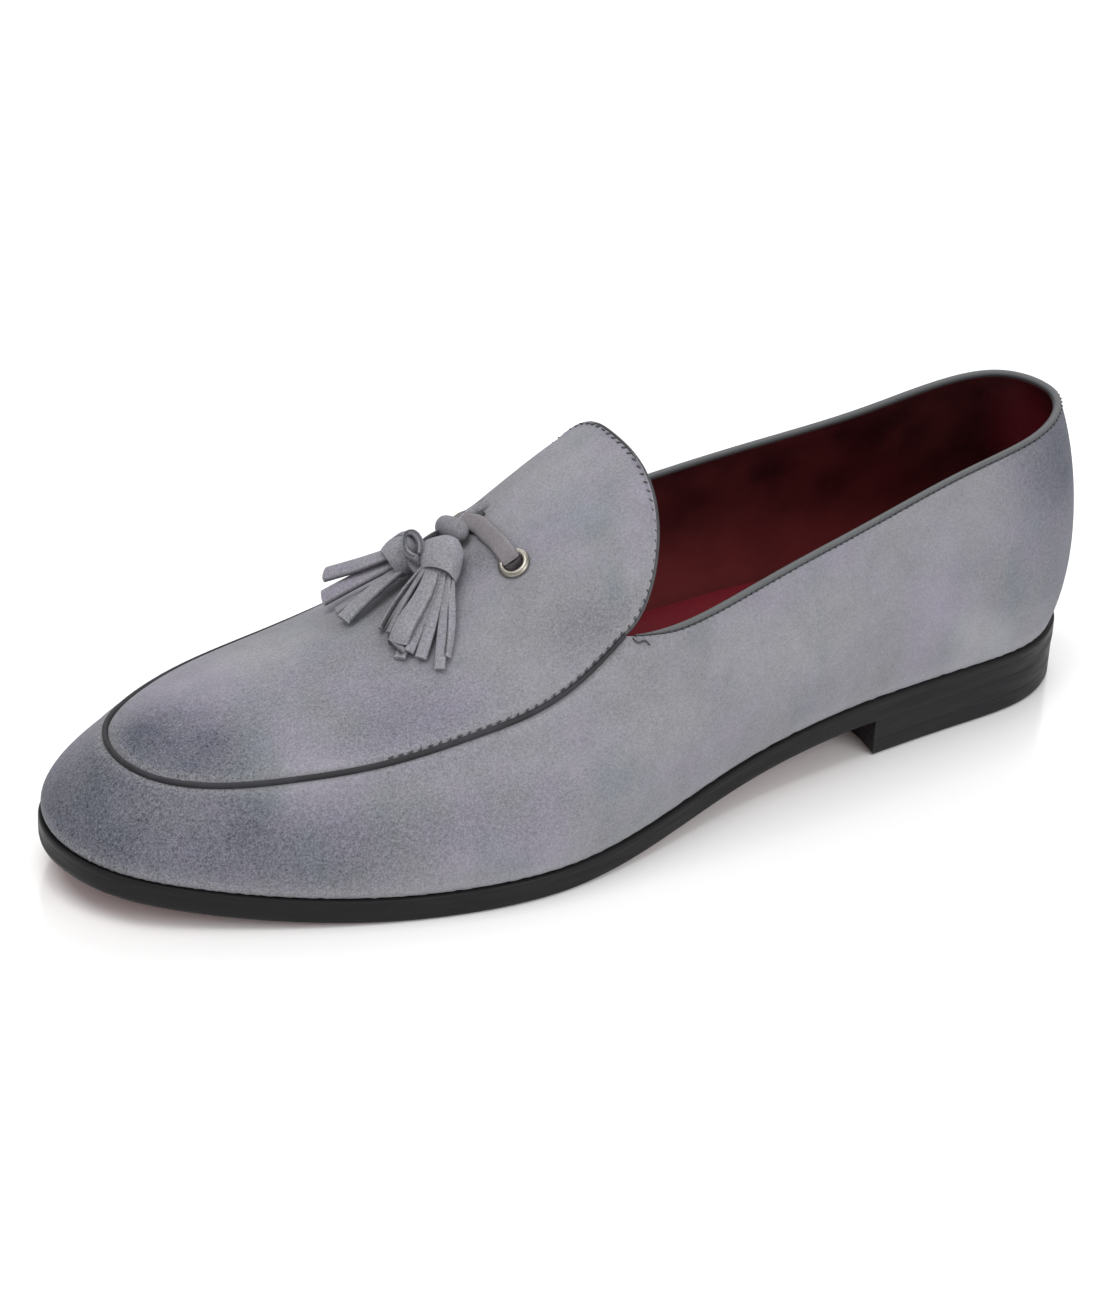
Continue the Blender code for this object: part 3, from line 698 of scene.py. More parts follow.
class Tree:
    """The node tree of one material."""

    def __init__(self, name: str) -> None:
        """Starts a material with one Principled shader.

        Args:
            name: the material's name.
        """
        self.made = bpy.data.materials.new(name)
        self.made.use_nodes = True
        self.shader = self.made.node_tree.nodes["Principled BSDF"]

    def node(self, kind: str, settings: dict, values: dict, output: int | str = 0) -> Wire:
        """Adds a node.

        Args:
            kind: the node's type.
            settings: its properties, set first.
            values: numbers, colours or wires for its sockets, by name or number.
            output: which output is returned.

        Returns:
            That output.
        """
        made = self.made.node_tree.nodes.new(kind)
        for name, setting in settings.items():
            setattr(made, name, setting)
        for name, value in values.items():
            self.feed(made.inputs[name], value)
        return Wire(self, made.outputs[output])

    def feed(self, socket: bpy.types.NodeSocket, value: "Wire | float | Colour") -> None:
        """Sets a socket, or links a wire to it.

        Args:
            socket: the socket.
            value: its value, or the wire that feeds it.
        """
        if isinstance(value, Wire):
            self.made.node_tree.links.new(value.socket, socket)
        elif socket.type == "RGBA" and len(value) == 3:
            socket.default_value = (*value, 1.0)
        else:
            socket.default_value = value

    def shade(self, **values: "Wire | float | Colour") -> Material:
        """Sets the shader's sockets, whose names have underscores for spaces, and returns the material.

        Args:
            values: a value or a wire for each socket.

        Returns:
            The material.
        """
        for name, value in values.items():
            self.feed(self.shader.inputs[name.replace("_", " ")], value)
        return self.made

    def place(self) -> Wire:
        """Object coordinates, in metres in the row's frame."""
        return self.node("ShaderNodeTexCoord", {}, {}, "Object")

    def value(self, name: str) -> Wire:
        """One of the mesh's own values."""
        return self.node("ShaderNodeAttribute", {"attribute_name": name}, {}, "Fac")

    def noise(self, place: Wire, size: float, detail: float = 2.0, roughness: float = 0.5,
              stretch: Point = (1.0, 1.0, 1.0)) -> Wire:
        """Noise with grains of a real size.

        Args:
            place: where it is read.
            size: a grain's size in metres.
            detail: octaves of finer grain.
            roughness: how much the finer grain counts.
            stretch: how many times longer a grain is each way.

        Returns:
            Its value, about 0.5 on average.
        """
        scaled = self.node("ShaderNodeMapping", {}, {"Vector": place, "Scale": tuple(1 / s for s in stretch)})
        values = {"Vector": scaled, "Scale": 1 / size, "Detail": detail, "Roughness": roughness}
        return self.node("ShaderNodeTexNoise", {}, values)

    def cells(self, place: Wire, size: float) -> Wire:
        """Distance from the middles of small cells, as in leather grain."""
        settings = {"feature": "SMOOTH_F1"}
        return self.node("ShaderNodeTexVoronoi", settings, {"Vector": place, "Scale": 1 / size})

    def mix(self, factor: Wire | float, first: Wire | Colour, second: Wire | Colour) -> Wire:
        """Mixes two colours."""
        settings = {"data_type": "RGBA", "blend_type": "MIX"}
        return self.node("ShaderNodeMix", settings, {0: factor, 6: first, 7: second}, 2)

    def brighten(self, colour: Wire | Colour, factor: Wire) -> Wire:
        """A colour times a number."""
        return self.node("ShaderNodeVectorMath", {"operation": "SCALE"}, {0: colour, "Scale": factor})

    def near(self, place: Wire, spot: "Spot") -> Wire:
        """1 in the middle of a spot on the shoe, fading to 0 at its edge.

        Args:
            place: where it is read.
            spot: the spot.

        Returns:
            The spot's weight.
        """
        middle = (spot.x * MM + ROW_SHIFT, spot.y * MM, spot.z * MM)
        size = (spot.long * MM, spot.wide * MM, spot.high * MM)
        moved = self.node("ShaderNodeVectorMath", {"operation": "SUBTRACT"}, {0: place, 1: middle})
        scaled = self.node("ShaderNodeVectorMath", {"operation": "DIVIDE"}, {0: moved, 1: size})
        far = self.node("ShaderNodeVectorMath", {"operation": "LENGTH"}, {0: scaled}, "Value")
        return far.ramp(1.0, 0.15)

    def bump(self, height: Wire, distance: float) -> Wire:
        """Normal from a height whose full range is a real distance."""
        return self.node("ShaderNodeBump", {}, {"Height": height, "Distance": distance, "Strength": 1.0})


@dataclass(frozen=True)
class Spot:
    """A soft patch of colour, in millimetres on the last."""

    x: float
    y: float
    z: float
    long: float
    wide: float
    high: float
    strength: float


class Finish:
    """A finish that makes its own material once."""

    name: str
    made: dict[str, Material] = {}

    def build(self, tree: Tree) -> Material:
        """Sets up the tree."""
        raise NotImplementedError

    def material(self) -> Material:
        """The material, made at its first use.

        Returns:
            The material.
        """
        if self.name not in Finish.made:
            Finish.made[self.name] = self.build(Tree(self.name))
        return Finish.made[self.name]


@dataclass(frozen=True)
class Suede(Finish):
    """Grey suede with a short nap, soft clouds of colour and darker patches."""

    name: str = "suede"
    colour: Colour = (0.252, 0.249, 0.270)
    lavender: Colour = (0.250, 0.235, 0.282)
    slate: Colour = (0.196, 0.220, 0.240)
    dark_patch: Colour = (0.072, 0.079, 0.103)
    pale: Colour = (0.345, 0.342, 0.355)
    cloud: float = 0.026
    mottle: float = 0.008
    grain: float = 0.00050
    nap_height: float = 0.00020
    dark_spots: tuple[Spot, ...] = ()
    pale_spots: tuple[Spot, ...] = ()
    contrast: float = 1.0
    rub: float = 2.3

    def spread(self, tree: Tree, place: Wire, spots: tuple[Spot, ...]) -> Wire:
        """How strongly any of the spots covers a place, from 0 to 1.

        Args:
            tree: the material's node tree.
            place: where it is read.
            spots: the spots.

        Returns:
            Their joint weight.
        """
        left: Wire | float = 1.0
        for spot in spots:
            left = (1.0 - tree.near(place, spot) * spot.strength) * left
        return 1.0 - left

    def build(self, tree: Tree) -> Material:
        """Sets up the tree.

        Args:
            tree: the material's node tree.

        Returns:
            The material.
        """
        place = tree.place()
        cloud = tree.noise(place, self.cloud, 3.0, 0.55)
        drift = tree.noise(place, self.cloud * 0.7, 2.0, 0.5, stretch=(1.0, 1.0, 1.6))
        mottle = tree.noise(place, self.mottle, 3.0, 0.6)
        speckle = tree.noise(place, self.grain, 3.0, 0.8)
        brushed = tree.noise(place, self.grain * 1.4, 3.0, 0.7, stretch=(1.6, 1.0, 1.2))
        toward_toe = tree.node("ShaderNodeSeparateXYZ", {}, {"Vector": place}, "X")
        colour = tree.mix(cloud.ramp(0.38, 0.66), self.colour, self.lavender)
        colour = tree.mix(drift.ramp(0.50, 0.72, 0.0, 0.60), colour, self.slate)
        rub = toward_toe.ramp(-0.03, 0.20, 0.66, 1.10) * self.contrast
        if self.dark_spots:
            colour = tree.mix(self.spread(tree, place, self.pale_spots), colour, self.pale)
            # Darker patches from the dark spots, strongest round the toe and low on the sides, with stronger
            # grain inside them
            darkened = self.spread(tree, place, self.dark_spots) * (0.55 + mottle * 0.9)
            colour = tree.mix(darkened, colour, self.dark_patch)
            rub = rub * (1.0 + darkened * self.rub)
        # Paler by the edge value: the fuzz of raw cut suede, and on the upper and the apron also painted
        # sheen along the sole and the seam
        colour = tree.mix(tree.value("edge") * 0.5, colour, self.pale)
        grain = (speckle - 0.5) * 1.15 + (brushed - 0.5) * 0.45
        light = 1.0 + (cloud - 0.5) * 0.35 + (mottle - 0.5) * 0.30 + grain * rub
        light = light.most(0.15) * (1.0 - tree.value("shade") * 0.8)
        return tree.shade(
            Base_Color=tree.brighten(colour, light),
            Roughness=0.96,
            Specular_IOR_Level=0.12,
            Sheen_Weight=0.10,
            Sheen_Roughness=0.5,
            Sheen_Tint=(0.85, 0.86, 0.95),
            Normal=tree.bump(speckle * 0.6 + brushed * 0.4, self.nap_height),
        )


@dataclass(frozen=True)
class TrimLeather(Finish):
    """Smooth grey leather of the piping and the binding."""

    name: str = "trim"
    colour: Colour = (0.052, 0.052, 0.060)
    worn: Colour = (0.120, 0.122, 0.128)
    grain: float = 0.0009
    roughness: float = 0.42

    def build(self, tree: Tree) -> Material:
        """Sets up the tree.

        Args:
            tree: the material's node tree.

        Returns:
            The material.
        """
        place = tree.place()
        patchy = tree.noise(place, 0.012, 3.0, 0.6)
        grain = tree.cells(place, self.grain)
        colour = tree.mix(patchy.ramp(0.35, 0.75), self.colour, self.worn)
        return tree.shade(
            Base_Color=colour,
            Roughness=patchy.ramp(0.2, 0.8, self.roughness - 0.06, self.roughness + 0.12),
            Coat_Weight=0.05,
            Coat_Roughness=0.3,
            Normal=tree.bump(grain, 0.00005),
        )


@dataclass(frozen=True)
class BindingLeather(Finish):
    """Brushed grey leather of the collar's roll, dark on its sides: partly its sunk stitched groove, partly
    painted shade under the roll and along the lining's edge.
    """

    name: str = "binding_leather"
    colour: Colour = (0.080, 0.085, 0.089)
    dark: Colour = (0.022, 0.023, 0.026)

    def build(self, tree: Tree) -> Material:
        """Sets up the tree.

        Args:
            tree: the material's node tree.

        Returns:
            The material.
        """
        place = tree.place()
        patchy = tree.noise(place, 0.006, 3.0, 0.6)
        grain = tree.noise(place, 0.0007, 3.0, 0.7)
        light = 0.80 + patchy * 0.25 + grain * 0.15
        # The band value darkens the roll's sides: partly the sunk stitched groove, partly painted shade under
        # the roll; the top of the roll keeps the plain colour
        colour = tree.brighten(tree.mix(tree.value("band"), self.colour, self.dark), light)
        return tree.shade(
            Base_Color=colour,
            Roughness=0.62,
            Sheen_Weight=0.1,
            Sheen_Roughness=0.5,
            Normal=tree.bump(grain, 0.00008),
        )


@dataclass(frozen=True)
class LiningLeather(Finish):
    """Glazed burgundy leather of the lining and the sock, with painted shade darkening it towards the topline
    and a painted pool of crimson light at the back of the heel.
    """

    name: str = "lining"
    # colour is the lining's colour low on the wall, paler there as painted sheen; it turns to the deep colour
    # as painted shade between the heights low and high
    colour: Colour = (0.260, 0.050, 0.052)
    deep: Colour = (0.0105, 0.0011, 0.0015)
    # painted light: a crimson pool of light on the inner wall at the back of the heel, where the light falls
    # in over the collar
    painted_light_crimson: Colour = (0.150, 0.0110, 0.0200)
    painted_light_spot: Spot = Spot(6, -8, 62, 15, 18, 28, 0.75)
    low: float = 0.020
    high: float = 0.054
    grain: float = 0.0012
    roughness: float = 0.34
    coat: float = 0.14

    def build(self, tree: Tree) -> Material:
        """Sets up the tree.

        Args:
            tree: the material's node tree.

        Returns:
            The material.
        """
        place = tree.place()
        patchy = tree.noise(place, 0.020, 3.0, 0.55)
        grain = tree.cells(place, self.grain)
        height = tree.node("ShaderNodeSeparateXYZ", {}, {"Vector": place}, "Z")
        # painted shade: darker with height up the wall, which leans in away from the light, with random
        # patches of darker tone added
        deep = height.ramp(self.low, self.high, 0.0, 0.84) + patchy.ramp(0.35, 0.70, 0.0, 0.16)
        colour = tree.mix(deep, self.colour, self.deep)
        return tree.shade(
            # painted light: the crimson pool of light mixed in at the back of the heel
            Base_Color=tree.mix(tree.near(place, self.painted_light_spot) * self.painted_light_spot.strength, colour, self.painted_light_crimson),
            Roughness=patchy.ramp(0.2, 0.8, self.roughness - 0.05, self.roughness + 0.10),
            Specular_IOR_Level=0.35,
            Coat_Weight=self.coat,
            Coat_Roughness=0.30,
            Normal=tree.bump(grain, 0.00004),
        )


@dataclass(frozen=True)
class InkedEdge(Finish):
    """Dyed and waxed edge of the sole and the heel."""

    name: str = "sole_edge"
    colour: Colour = (0.0075, 0.0072, 0.0082)
    roughness: float = 0.46
    layer: float = 0.0012

    def build(self, tree: Tree) -> Material:
        """Sets up the tree.

        Args:
            tree: the material's node tree.

        Returns:
            The material.
        """
        place = tree.place()
        scuff = tree.noise(place, 0.004, 4.0, 0.6, stretch=(4.0, 4.0, 0.5))
        layers = tree.noise(place, self.layer, 2.0, 0.5, stretch=(30.0, 30.0, 0.6))
        light = 0.75 + scuff * 0.5
        return tree.shade(
            Base_Color=tree.brighten(self.colour, light),
            Roughness=scuff.ramp(0.3, 0.7, self.roughness - 0.08, self.roughness + 0.14),
            Specular_IOR_Level=0.22,
            Normal=tree.bump(layers, 0.00006),
        )


@dataclass(frozen=True)
class SoleLeather(Finish):
    """Oxblood dyed leather of the sole's underside, with light scuffs."""

    name: str = "sole_bottom"
    colour: Colour = (0.190, 0.022, 0.022)
    deep: Colour = (0.110, 0.014, 0.015)
    roughness: float = 0.40

    def build(self, tree: Tree) -> Material:
        """Sets up the tree.

        Args:
            tree: the material's node tree.

        Returns:
            The material.
        """
        place = tree.place()
        patchy = tree.noise(place, 0.015, 4.0, 0.6)
        scuff = tree.noise(place, 0.0012, 3.0, 0.6, stretch=(12.0, 1.0, 1.0))
        return tree.shade(
            Base_Color=tree.mix(patchy.ramp(0.3, 0.7), self.colour, self.deep),
            Roughness=scuff.ramp(0.4, 0.7, self.roughness, self.roughness + 0.25),
            Normal=tree.bump(scuff, 0.00003),
        )


@dataclass(frozen=True)
class Nickel(Finish):
    """Nickel plate of the eyelets, a little worn."""

    name: str = "nickel"
    colour: Colour = (0.33, 0.31, 0.27)
    roughness: float = 0.31

    def build(self, tree: Tree) -> Material:
        """Sets up the tree.

        Args:
            tree: the material's node tree.

        Returns:
            The material.
        """
        worn = tree.noise(tree.place(), 0.0015, 3.0, 0.6)
        return tree.shade(
            Base_Color=self.colour,
            Metallic=1.0,
            Roughness=worn.ramp(0.3, 0.7, self.roughness - 0.08, self.roughness + 0.14),
        )


@dataclass(frozen=True)
class Thread(Finish):
    """Waxed sewing thread."""

    name: str = "thread"
    colour: Colour = (0.030, 0.030, 0.034)
    twist: float = 0.00035

    def build(self, tree: Tree) -> Material:
        """Sets up the tree.

        Args:
            tree: the material's node tree.

        Returns:
            The material.
        """
        fibre = tree.noise(tree.place(), self.twist, 2.0, 0.5)
        pale = tuple(2.2 * part for part in self.colour)
        return tree.shade(
            Base_Color=tree.mix(fibre.ramp(0.35, 0.7), self.colour, pale),
            Roughness=0.62,
            Normal=tree.bump(fibre, 0.00005),
        )


@dataclass(frozen=True)
class StudioFloor(Finish):
    """Plain pale floor."""

    name: str = "studio_floor"
    colour: Colour = (0.97, 0.97, 0.97)

    def build(self, tree: Tree) -> Material:
        """Sets up the tree."""
        return tree.shade(Base_Color=self.colour, Roughness=0.16, Specular_IOR_Level=0.5)


LAST = Last()
ROW_SHIFT = -LAST.breast * LAST.length / 2
TO_ROW = np.array([ROW_SHIFT, 0.0, 0.0])


def on_apron(along: float, reach: float, side: float) -> tuple[Array, Array]:
    """Point on the apron and the direction square to it.

    Args:
        along: share of the last's length.
        reach: share of the way from the crown to the feather edge.
        side: 1 on the outer side and -1 on the inner side.

    Returns:
        The point and the unit direction.
    """
    nudge = 0.01
    ribs = LAST.ribs([float(LAST.turn_of(along))], [side])
    ahead = LAST.ribs([float(LAST.turn_of(along + nudge))], [side])
    here = ribs.at_reach(np.array([[reach]]))[0, 0]
    down = ribs.at_reach(np.array([[reach + nudge]]))[0, 0] - here
    onward = ahead.at_reach(np.array([[reach]]))[0, 0] - here
    return here, unit(np.cross(onward, down) * side)


def above_apron(x: float, y: float, lift: float) -> tuple[Array, Array]:
    """Point at a height above the apron over a place in plan, and the direction square to it there.

    Args:
        x: place along the last, in metres.
        y: place across it.
        lift: height above the apron.

    Returns:
        The point and the unit direction.
    """
    along = x / LAST.length
    sideways = y - float(smooth_curve(CROWN["along"], CROWN["sideways"], along)) * LAST.ball
    side = 1.0 if sideways >= 0 else -1.0
    ribs = LAST.ribs([float(LAST.turn_of(along))], [side])
    span = np.linalg.norm(ribs.foot[0] - ribs.crown[0])
    here, normal = on_apron(along, abs(sideways) / span, side)
    return here + normal * lift, normal


def axes_from(normal: Array) -> tuple[Array, Array]:
    """Directions to the toe and sideways in the plane square to a normal."""
    forward = unit(np.array([1.0, 0.0, 0.0]) - normal * normal[0])
    return forward, np.cross(normal, forward)


def surface_frame(ribs: Ribs, share: Array) -> tuple[Array, Array, Array]:
    """Points on the last at one share for each rib, with the uphill and outward directions.

    Args:
        ribs: the ribs.
        share: share of the climb for each rib.

    Returns:
        Points, uphill and outward directions.
    """
    nudge = 0.01
    here = ribs.at_share(share[:, None])[:, 0]
    uphill = unit(ribs.at_share(np.minimum(share + nudge, 1)[:, None])[:, 0]
                  - ribs.at_share(np.maximum(share - nudge, 0)[:, None])[:, 0])
    outward = unit(np.cross(uphill, np.gradient(here, axis=0)))
    away = (outward[:, :2] * (ribs.foot - ribs.crown)).sum(-1, keepdims=True)
    return here, uphill, outward * np.where(away < 0, -1.0, 1.0)


def flat_rings(path: Array, normals: Array, width: Array, thickness: Array, curl: Array, twist: Array,
               corners: int = STRIP_CORNERS) -> Array:
    """Cross sections of a soft strip along a path.

    Args:
        path: its middle line.
        normals: the direction that its broad face looks, at each point.
        width: its width at each point.
        thickness: its thickness at each point.
        curl: how far its edges are curled down, as the angle of the arc at each point.
        twist: turn of the section about the path at each point.
        corners: points across one face.

    Returns:
        One ring of points for each point of the path.
    """
    path = np.asarray(path)
    onward = unit(np.gradient(path, axis=0))
    across = np.linspace(-0.5, 0.5, corners)
    rings = []
    for i, point in enumerate(path):
        sideways = unit(np.cross(normals[i], onward[i]))
        up = np.cross(onward[i], sideways)
        arc = max(abs(float(curl[i])), 0.001)
        radius = width[i] / arc
        angle = across * arc
        dip = math.copysign(1.0, curl[i])
        half = thickness[i] / 2 * (1 - 0.75 * (np.abs(across) * 2) ** 6)
        top = np.stack([radius * np.sin(angle) + half * np.sin(angle) * dip,
                        dip * radius * (np.cos(angle) - 1) + half * np.cos(angle)], -1)
        low = np.stack([radius * np.sin(angle) - half * np.sin(angle) * dip,
                        dip * radius * (np.cos(angle) - 1) - half * np.cos(angle)], -1)
        section = np.concatenate([top, low[::-1]])
        turn = float(twist[i])
        a = section[:, 0] * math.cos(turn) - section[:, 1] * math.sin(turn)
        b = section[:, 0] * math.sin(turn) + section[:, 1] * math.cos(turn)
        rings.append(point + a[:, None] * sideways + b[:, None] * up)
    return np.array(rings)


def across_section(corners: int = STRIP_CORNERS) -> Array:
    """How far each corner of a strip's section is from its middle, as a share of half its width."""
    return np.abs(np.concatenate([np.linspace(-1, 1, corners), np.linspace(1, -1, corners)]))


def under_section(corners: int = STRIP_CORNERS) -> Array:
    """0 on the upper face of a strip's section and 1 on its lower face."""
    return np.repeat([0.0, 1.0], corners)


def baked(made: Piece) -> None:
    """Turns an object's modifiers into plain mesh.

    Args:
        made: the object.
    """
    graph = bpy.context.evaluated_depsgraph_get()
    mesh = bpy.data.meshes.new_from_object(made.evaluated_get(graph))
    made.modifiers.clear()
    made.data = mesh


@dataclass
class Bottom:
    """Outsole, heel and sock."""

    margin: float = 0.0012
    top_margin: float = 0.0010
    top_thickness: float = 0.0046
    hollow: float = 0.0030
    sock: float = 0.0050
    wall: float = 0.0018
    steps: int = 150
    heel_steps: int = 60
    breast_steps: int = 25
    edge_over_heel: float = 0.25
    edge_change: float = 0.03
    sock_steps: int = 110
    sock_rows: int = 29
    sock_rise: float = 0.0026
    sock_rise_reach: float = 0.0065
    sock_sink: float = 0.0003

    def outsole(self) -> Piece:
        """Sole with a burnished, slightly rounded edge and a line near its top.

        Returns:
            The piece.
        """
        profile = [
            (2.4, 0.0), (0.9, 0.0), (0.45, 0.015), (0.18, 0.07), (0.04, 0.18), (0.0, 0.32), (0.0, 0.50),
            (0.01, 0.62), (0.02, 0.665), (0.05, 0.68), (0.05, 0.695), (0.02, 0.71), (0.01, 0.76),
            (0.03, 0.88), (0.12, 0.96), (0.35, 1.0), (2.4, 1.0),
        ]
        turn, side = there_and_back(np.linspace(0, math.pi, self.steps), closed=True)
        past_breast = LAST.feather_edge(turn, side)[:, :1] / LAST.length - LAST.breast
        least = self.edge_over_heel
        over_heel = least + (1 - least) * smooth_step(past_breast / self.edge_change)
        rings = []
        for inset, share in profile:
            soft = over_heel if share < 0.3 and inset < 1.0 else np.ones_like(over_heel)
            plan = LAST.outline(turn, side, self.margin - inset * MM * soft)
            rings.append(np.column_stack([plan, LAST.sole_underside(plan[:, 0]) + share * LAST.sole]))
        count = len(turn)
        points = np.concatenate(rings)
        faces: Faces = []
        for k in range(len(rings) - 1):
            faces += strip_of_quads(np.arange(count) + k * count, np.arange(count) + (k + 1) * count, True)
        slots = [1] * count + [0] * (len(faces) - count)
        top = (len(rings) - 1) * count
        for i in range(count // 2):
            pair = tuple(dict.fromkeys((i, i + 1, (count - i - 1) % count, (count - i) % count)))
            faces += [pair, tuple(n + top for n in pair[::-1])]
            slots += [1, 0]
        shape = Mesher()
        for number in (0, 1):
            chosen = [face for face, slot in zip(faces, slots) if slot == number]
            shape.add(points, chosen, number)
        made = shape.piece("outsole_dressed", [InkedEdge(), SoleLeather()], sharp=50)
        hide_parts("outsole")
        return made

    def heel_plan(self, margin: float) -> Array:
        """Outline of the heel: the sole's outline back of a hollow breast.

        Args:
            margin: how far it stands out past the feather edge.

        Returns:
            Points in plan.
        """
        turns = np.linspace(0, float(LAST.turn_of(LAST.breast)), self.heel_steps)
        outer = LAST.outline(turns, np.ones(len(turns)), margin)
        inner = LAST.outline(turns, -np.ones(len(turns)), margin)
        across = np.linspace(0, 1, self.breast_steps)[1:-1]
        breast = outer[-1] + across[:, None] * (inner[-1] - outer[-1])
        breast[:, 0] -= self.hollow * np.sin(math.pi * across) ** 0.8
        return np.concatenate([outer, breast, inner[:0:-1]])

    @staticmethod
    def upper_rows(height: float) -> list[tuple[float, float]]:
        """Rows of the upper edge of a lift, just under a height."""
        return [(0.0, height - 0.0002), (0.00003, height - 0.00005), (0.00008, height - 0.00002),
                (0.0030, height - 0.00002)]

    def lift(self, name: str, node: str, rows: list[tuple[float, float]]) -> Piece:
        """One lift of the heel.

        Args:
            name: the piece's name.
            node: the solid that it stands for.
            rows: how far in and how high each row is, in metres.

        Returns:
            The piece.
        """
        plan = self.heel_plan(self.top_margin)
        ahead = np.roll(plan, -1, axis=0) - np.roll(plan, 1, axis=0)
        inward = unit(np.stack([-ahead[:, 1], ahead[:, 0]], -1))
        if (inward * (plan.mean(0) - plan)).sum() < 0:
            inward = -inward
        rings = [np.column_stack([plan + inward * inset, np.full(len(plan), height)])
                 for inset, height in rows]
        shape = Mesher()
        shape.add(*swept(np.array(rings)))
        made = shape.piece(name, [InkedEdge("heel_edge", (0.0100, 0.0100, 0.0115), 0.46)], sharp=50)
        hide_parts(node)
        return made

    def heel(self) -> list[Piece]:
        """Both lifts of the heel.

        Returns:
            The top piece and the base lift.
        """
        low, high = self.top_thickness, LAST.heel_height
        top = self.lift("heel_top_dressed", "heel_top_piece", [
            (0.0030, 0.0), (0.0006, 0.0), (0.0002, 0.0002), (0.0, 0.0007), *self.upper_rows(low)])
        base = self.lift("heel_base_dressed", "heel_base", [
            (0.0030, low), (0.00008, low), (0.00003, low + 0.00005), (0.0, low + 0.0002),
            *self.upper_rows(high)])
        return [top, base]

    def inner_sock(self) -> Piece:
        """Sock over the insole, dished a little towards its middle.

        Returns:
            The piece.
        """
        turn, side = there_and_back(np.linspace(0, math.pi, self.sock_steps), closed=True)
        count = len(turn)
        edge = LAST.outline(turn, side, -(self.wall + LAST.clearance))
        half = count // 2
        outer = edge[:half + 1]
        inner = edge[[(count - i) % count for i in range(half + 1)]]
        share = (1 - np.cos(np.linspace(0, math.pi, self.sock_rows))) / 2
        plan = outer[:, None] + share[None, :, None] * (inner - outer)[:, None]
        width = np.linalg.norm(inner - outer, axis=1)[:, None]
        from_edge = np.minimum(share, 1 - share)[None, :] * width
        rise = self.sock_rise * hump(from_edge, self.sock_rise_reach) - self.sock_sink
        base = LAST.sole_top(plan[..., 0]) + LAST.clearance
        top = np.concatenate([plan, (base + self.sock + rise)[..., None]], -1)
        low = np.concatenate([plan, base[..., None]], -1)
        shape = Mesher()
        shape.add(*thick_sheet(top, low, closed=False, crown_joined=False))
        # The sock has the same painted shade ramp with height as the lining
        leather = LiningLeather("sock_leather", (0.200, 0.0120, 0.0220), (0.110, 0.007, 0.012), coat=0.1)
        made = shape.piece("sock", [leather], sharp=60)
        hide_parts("insole")
        return made


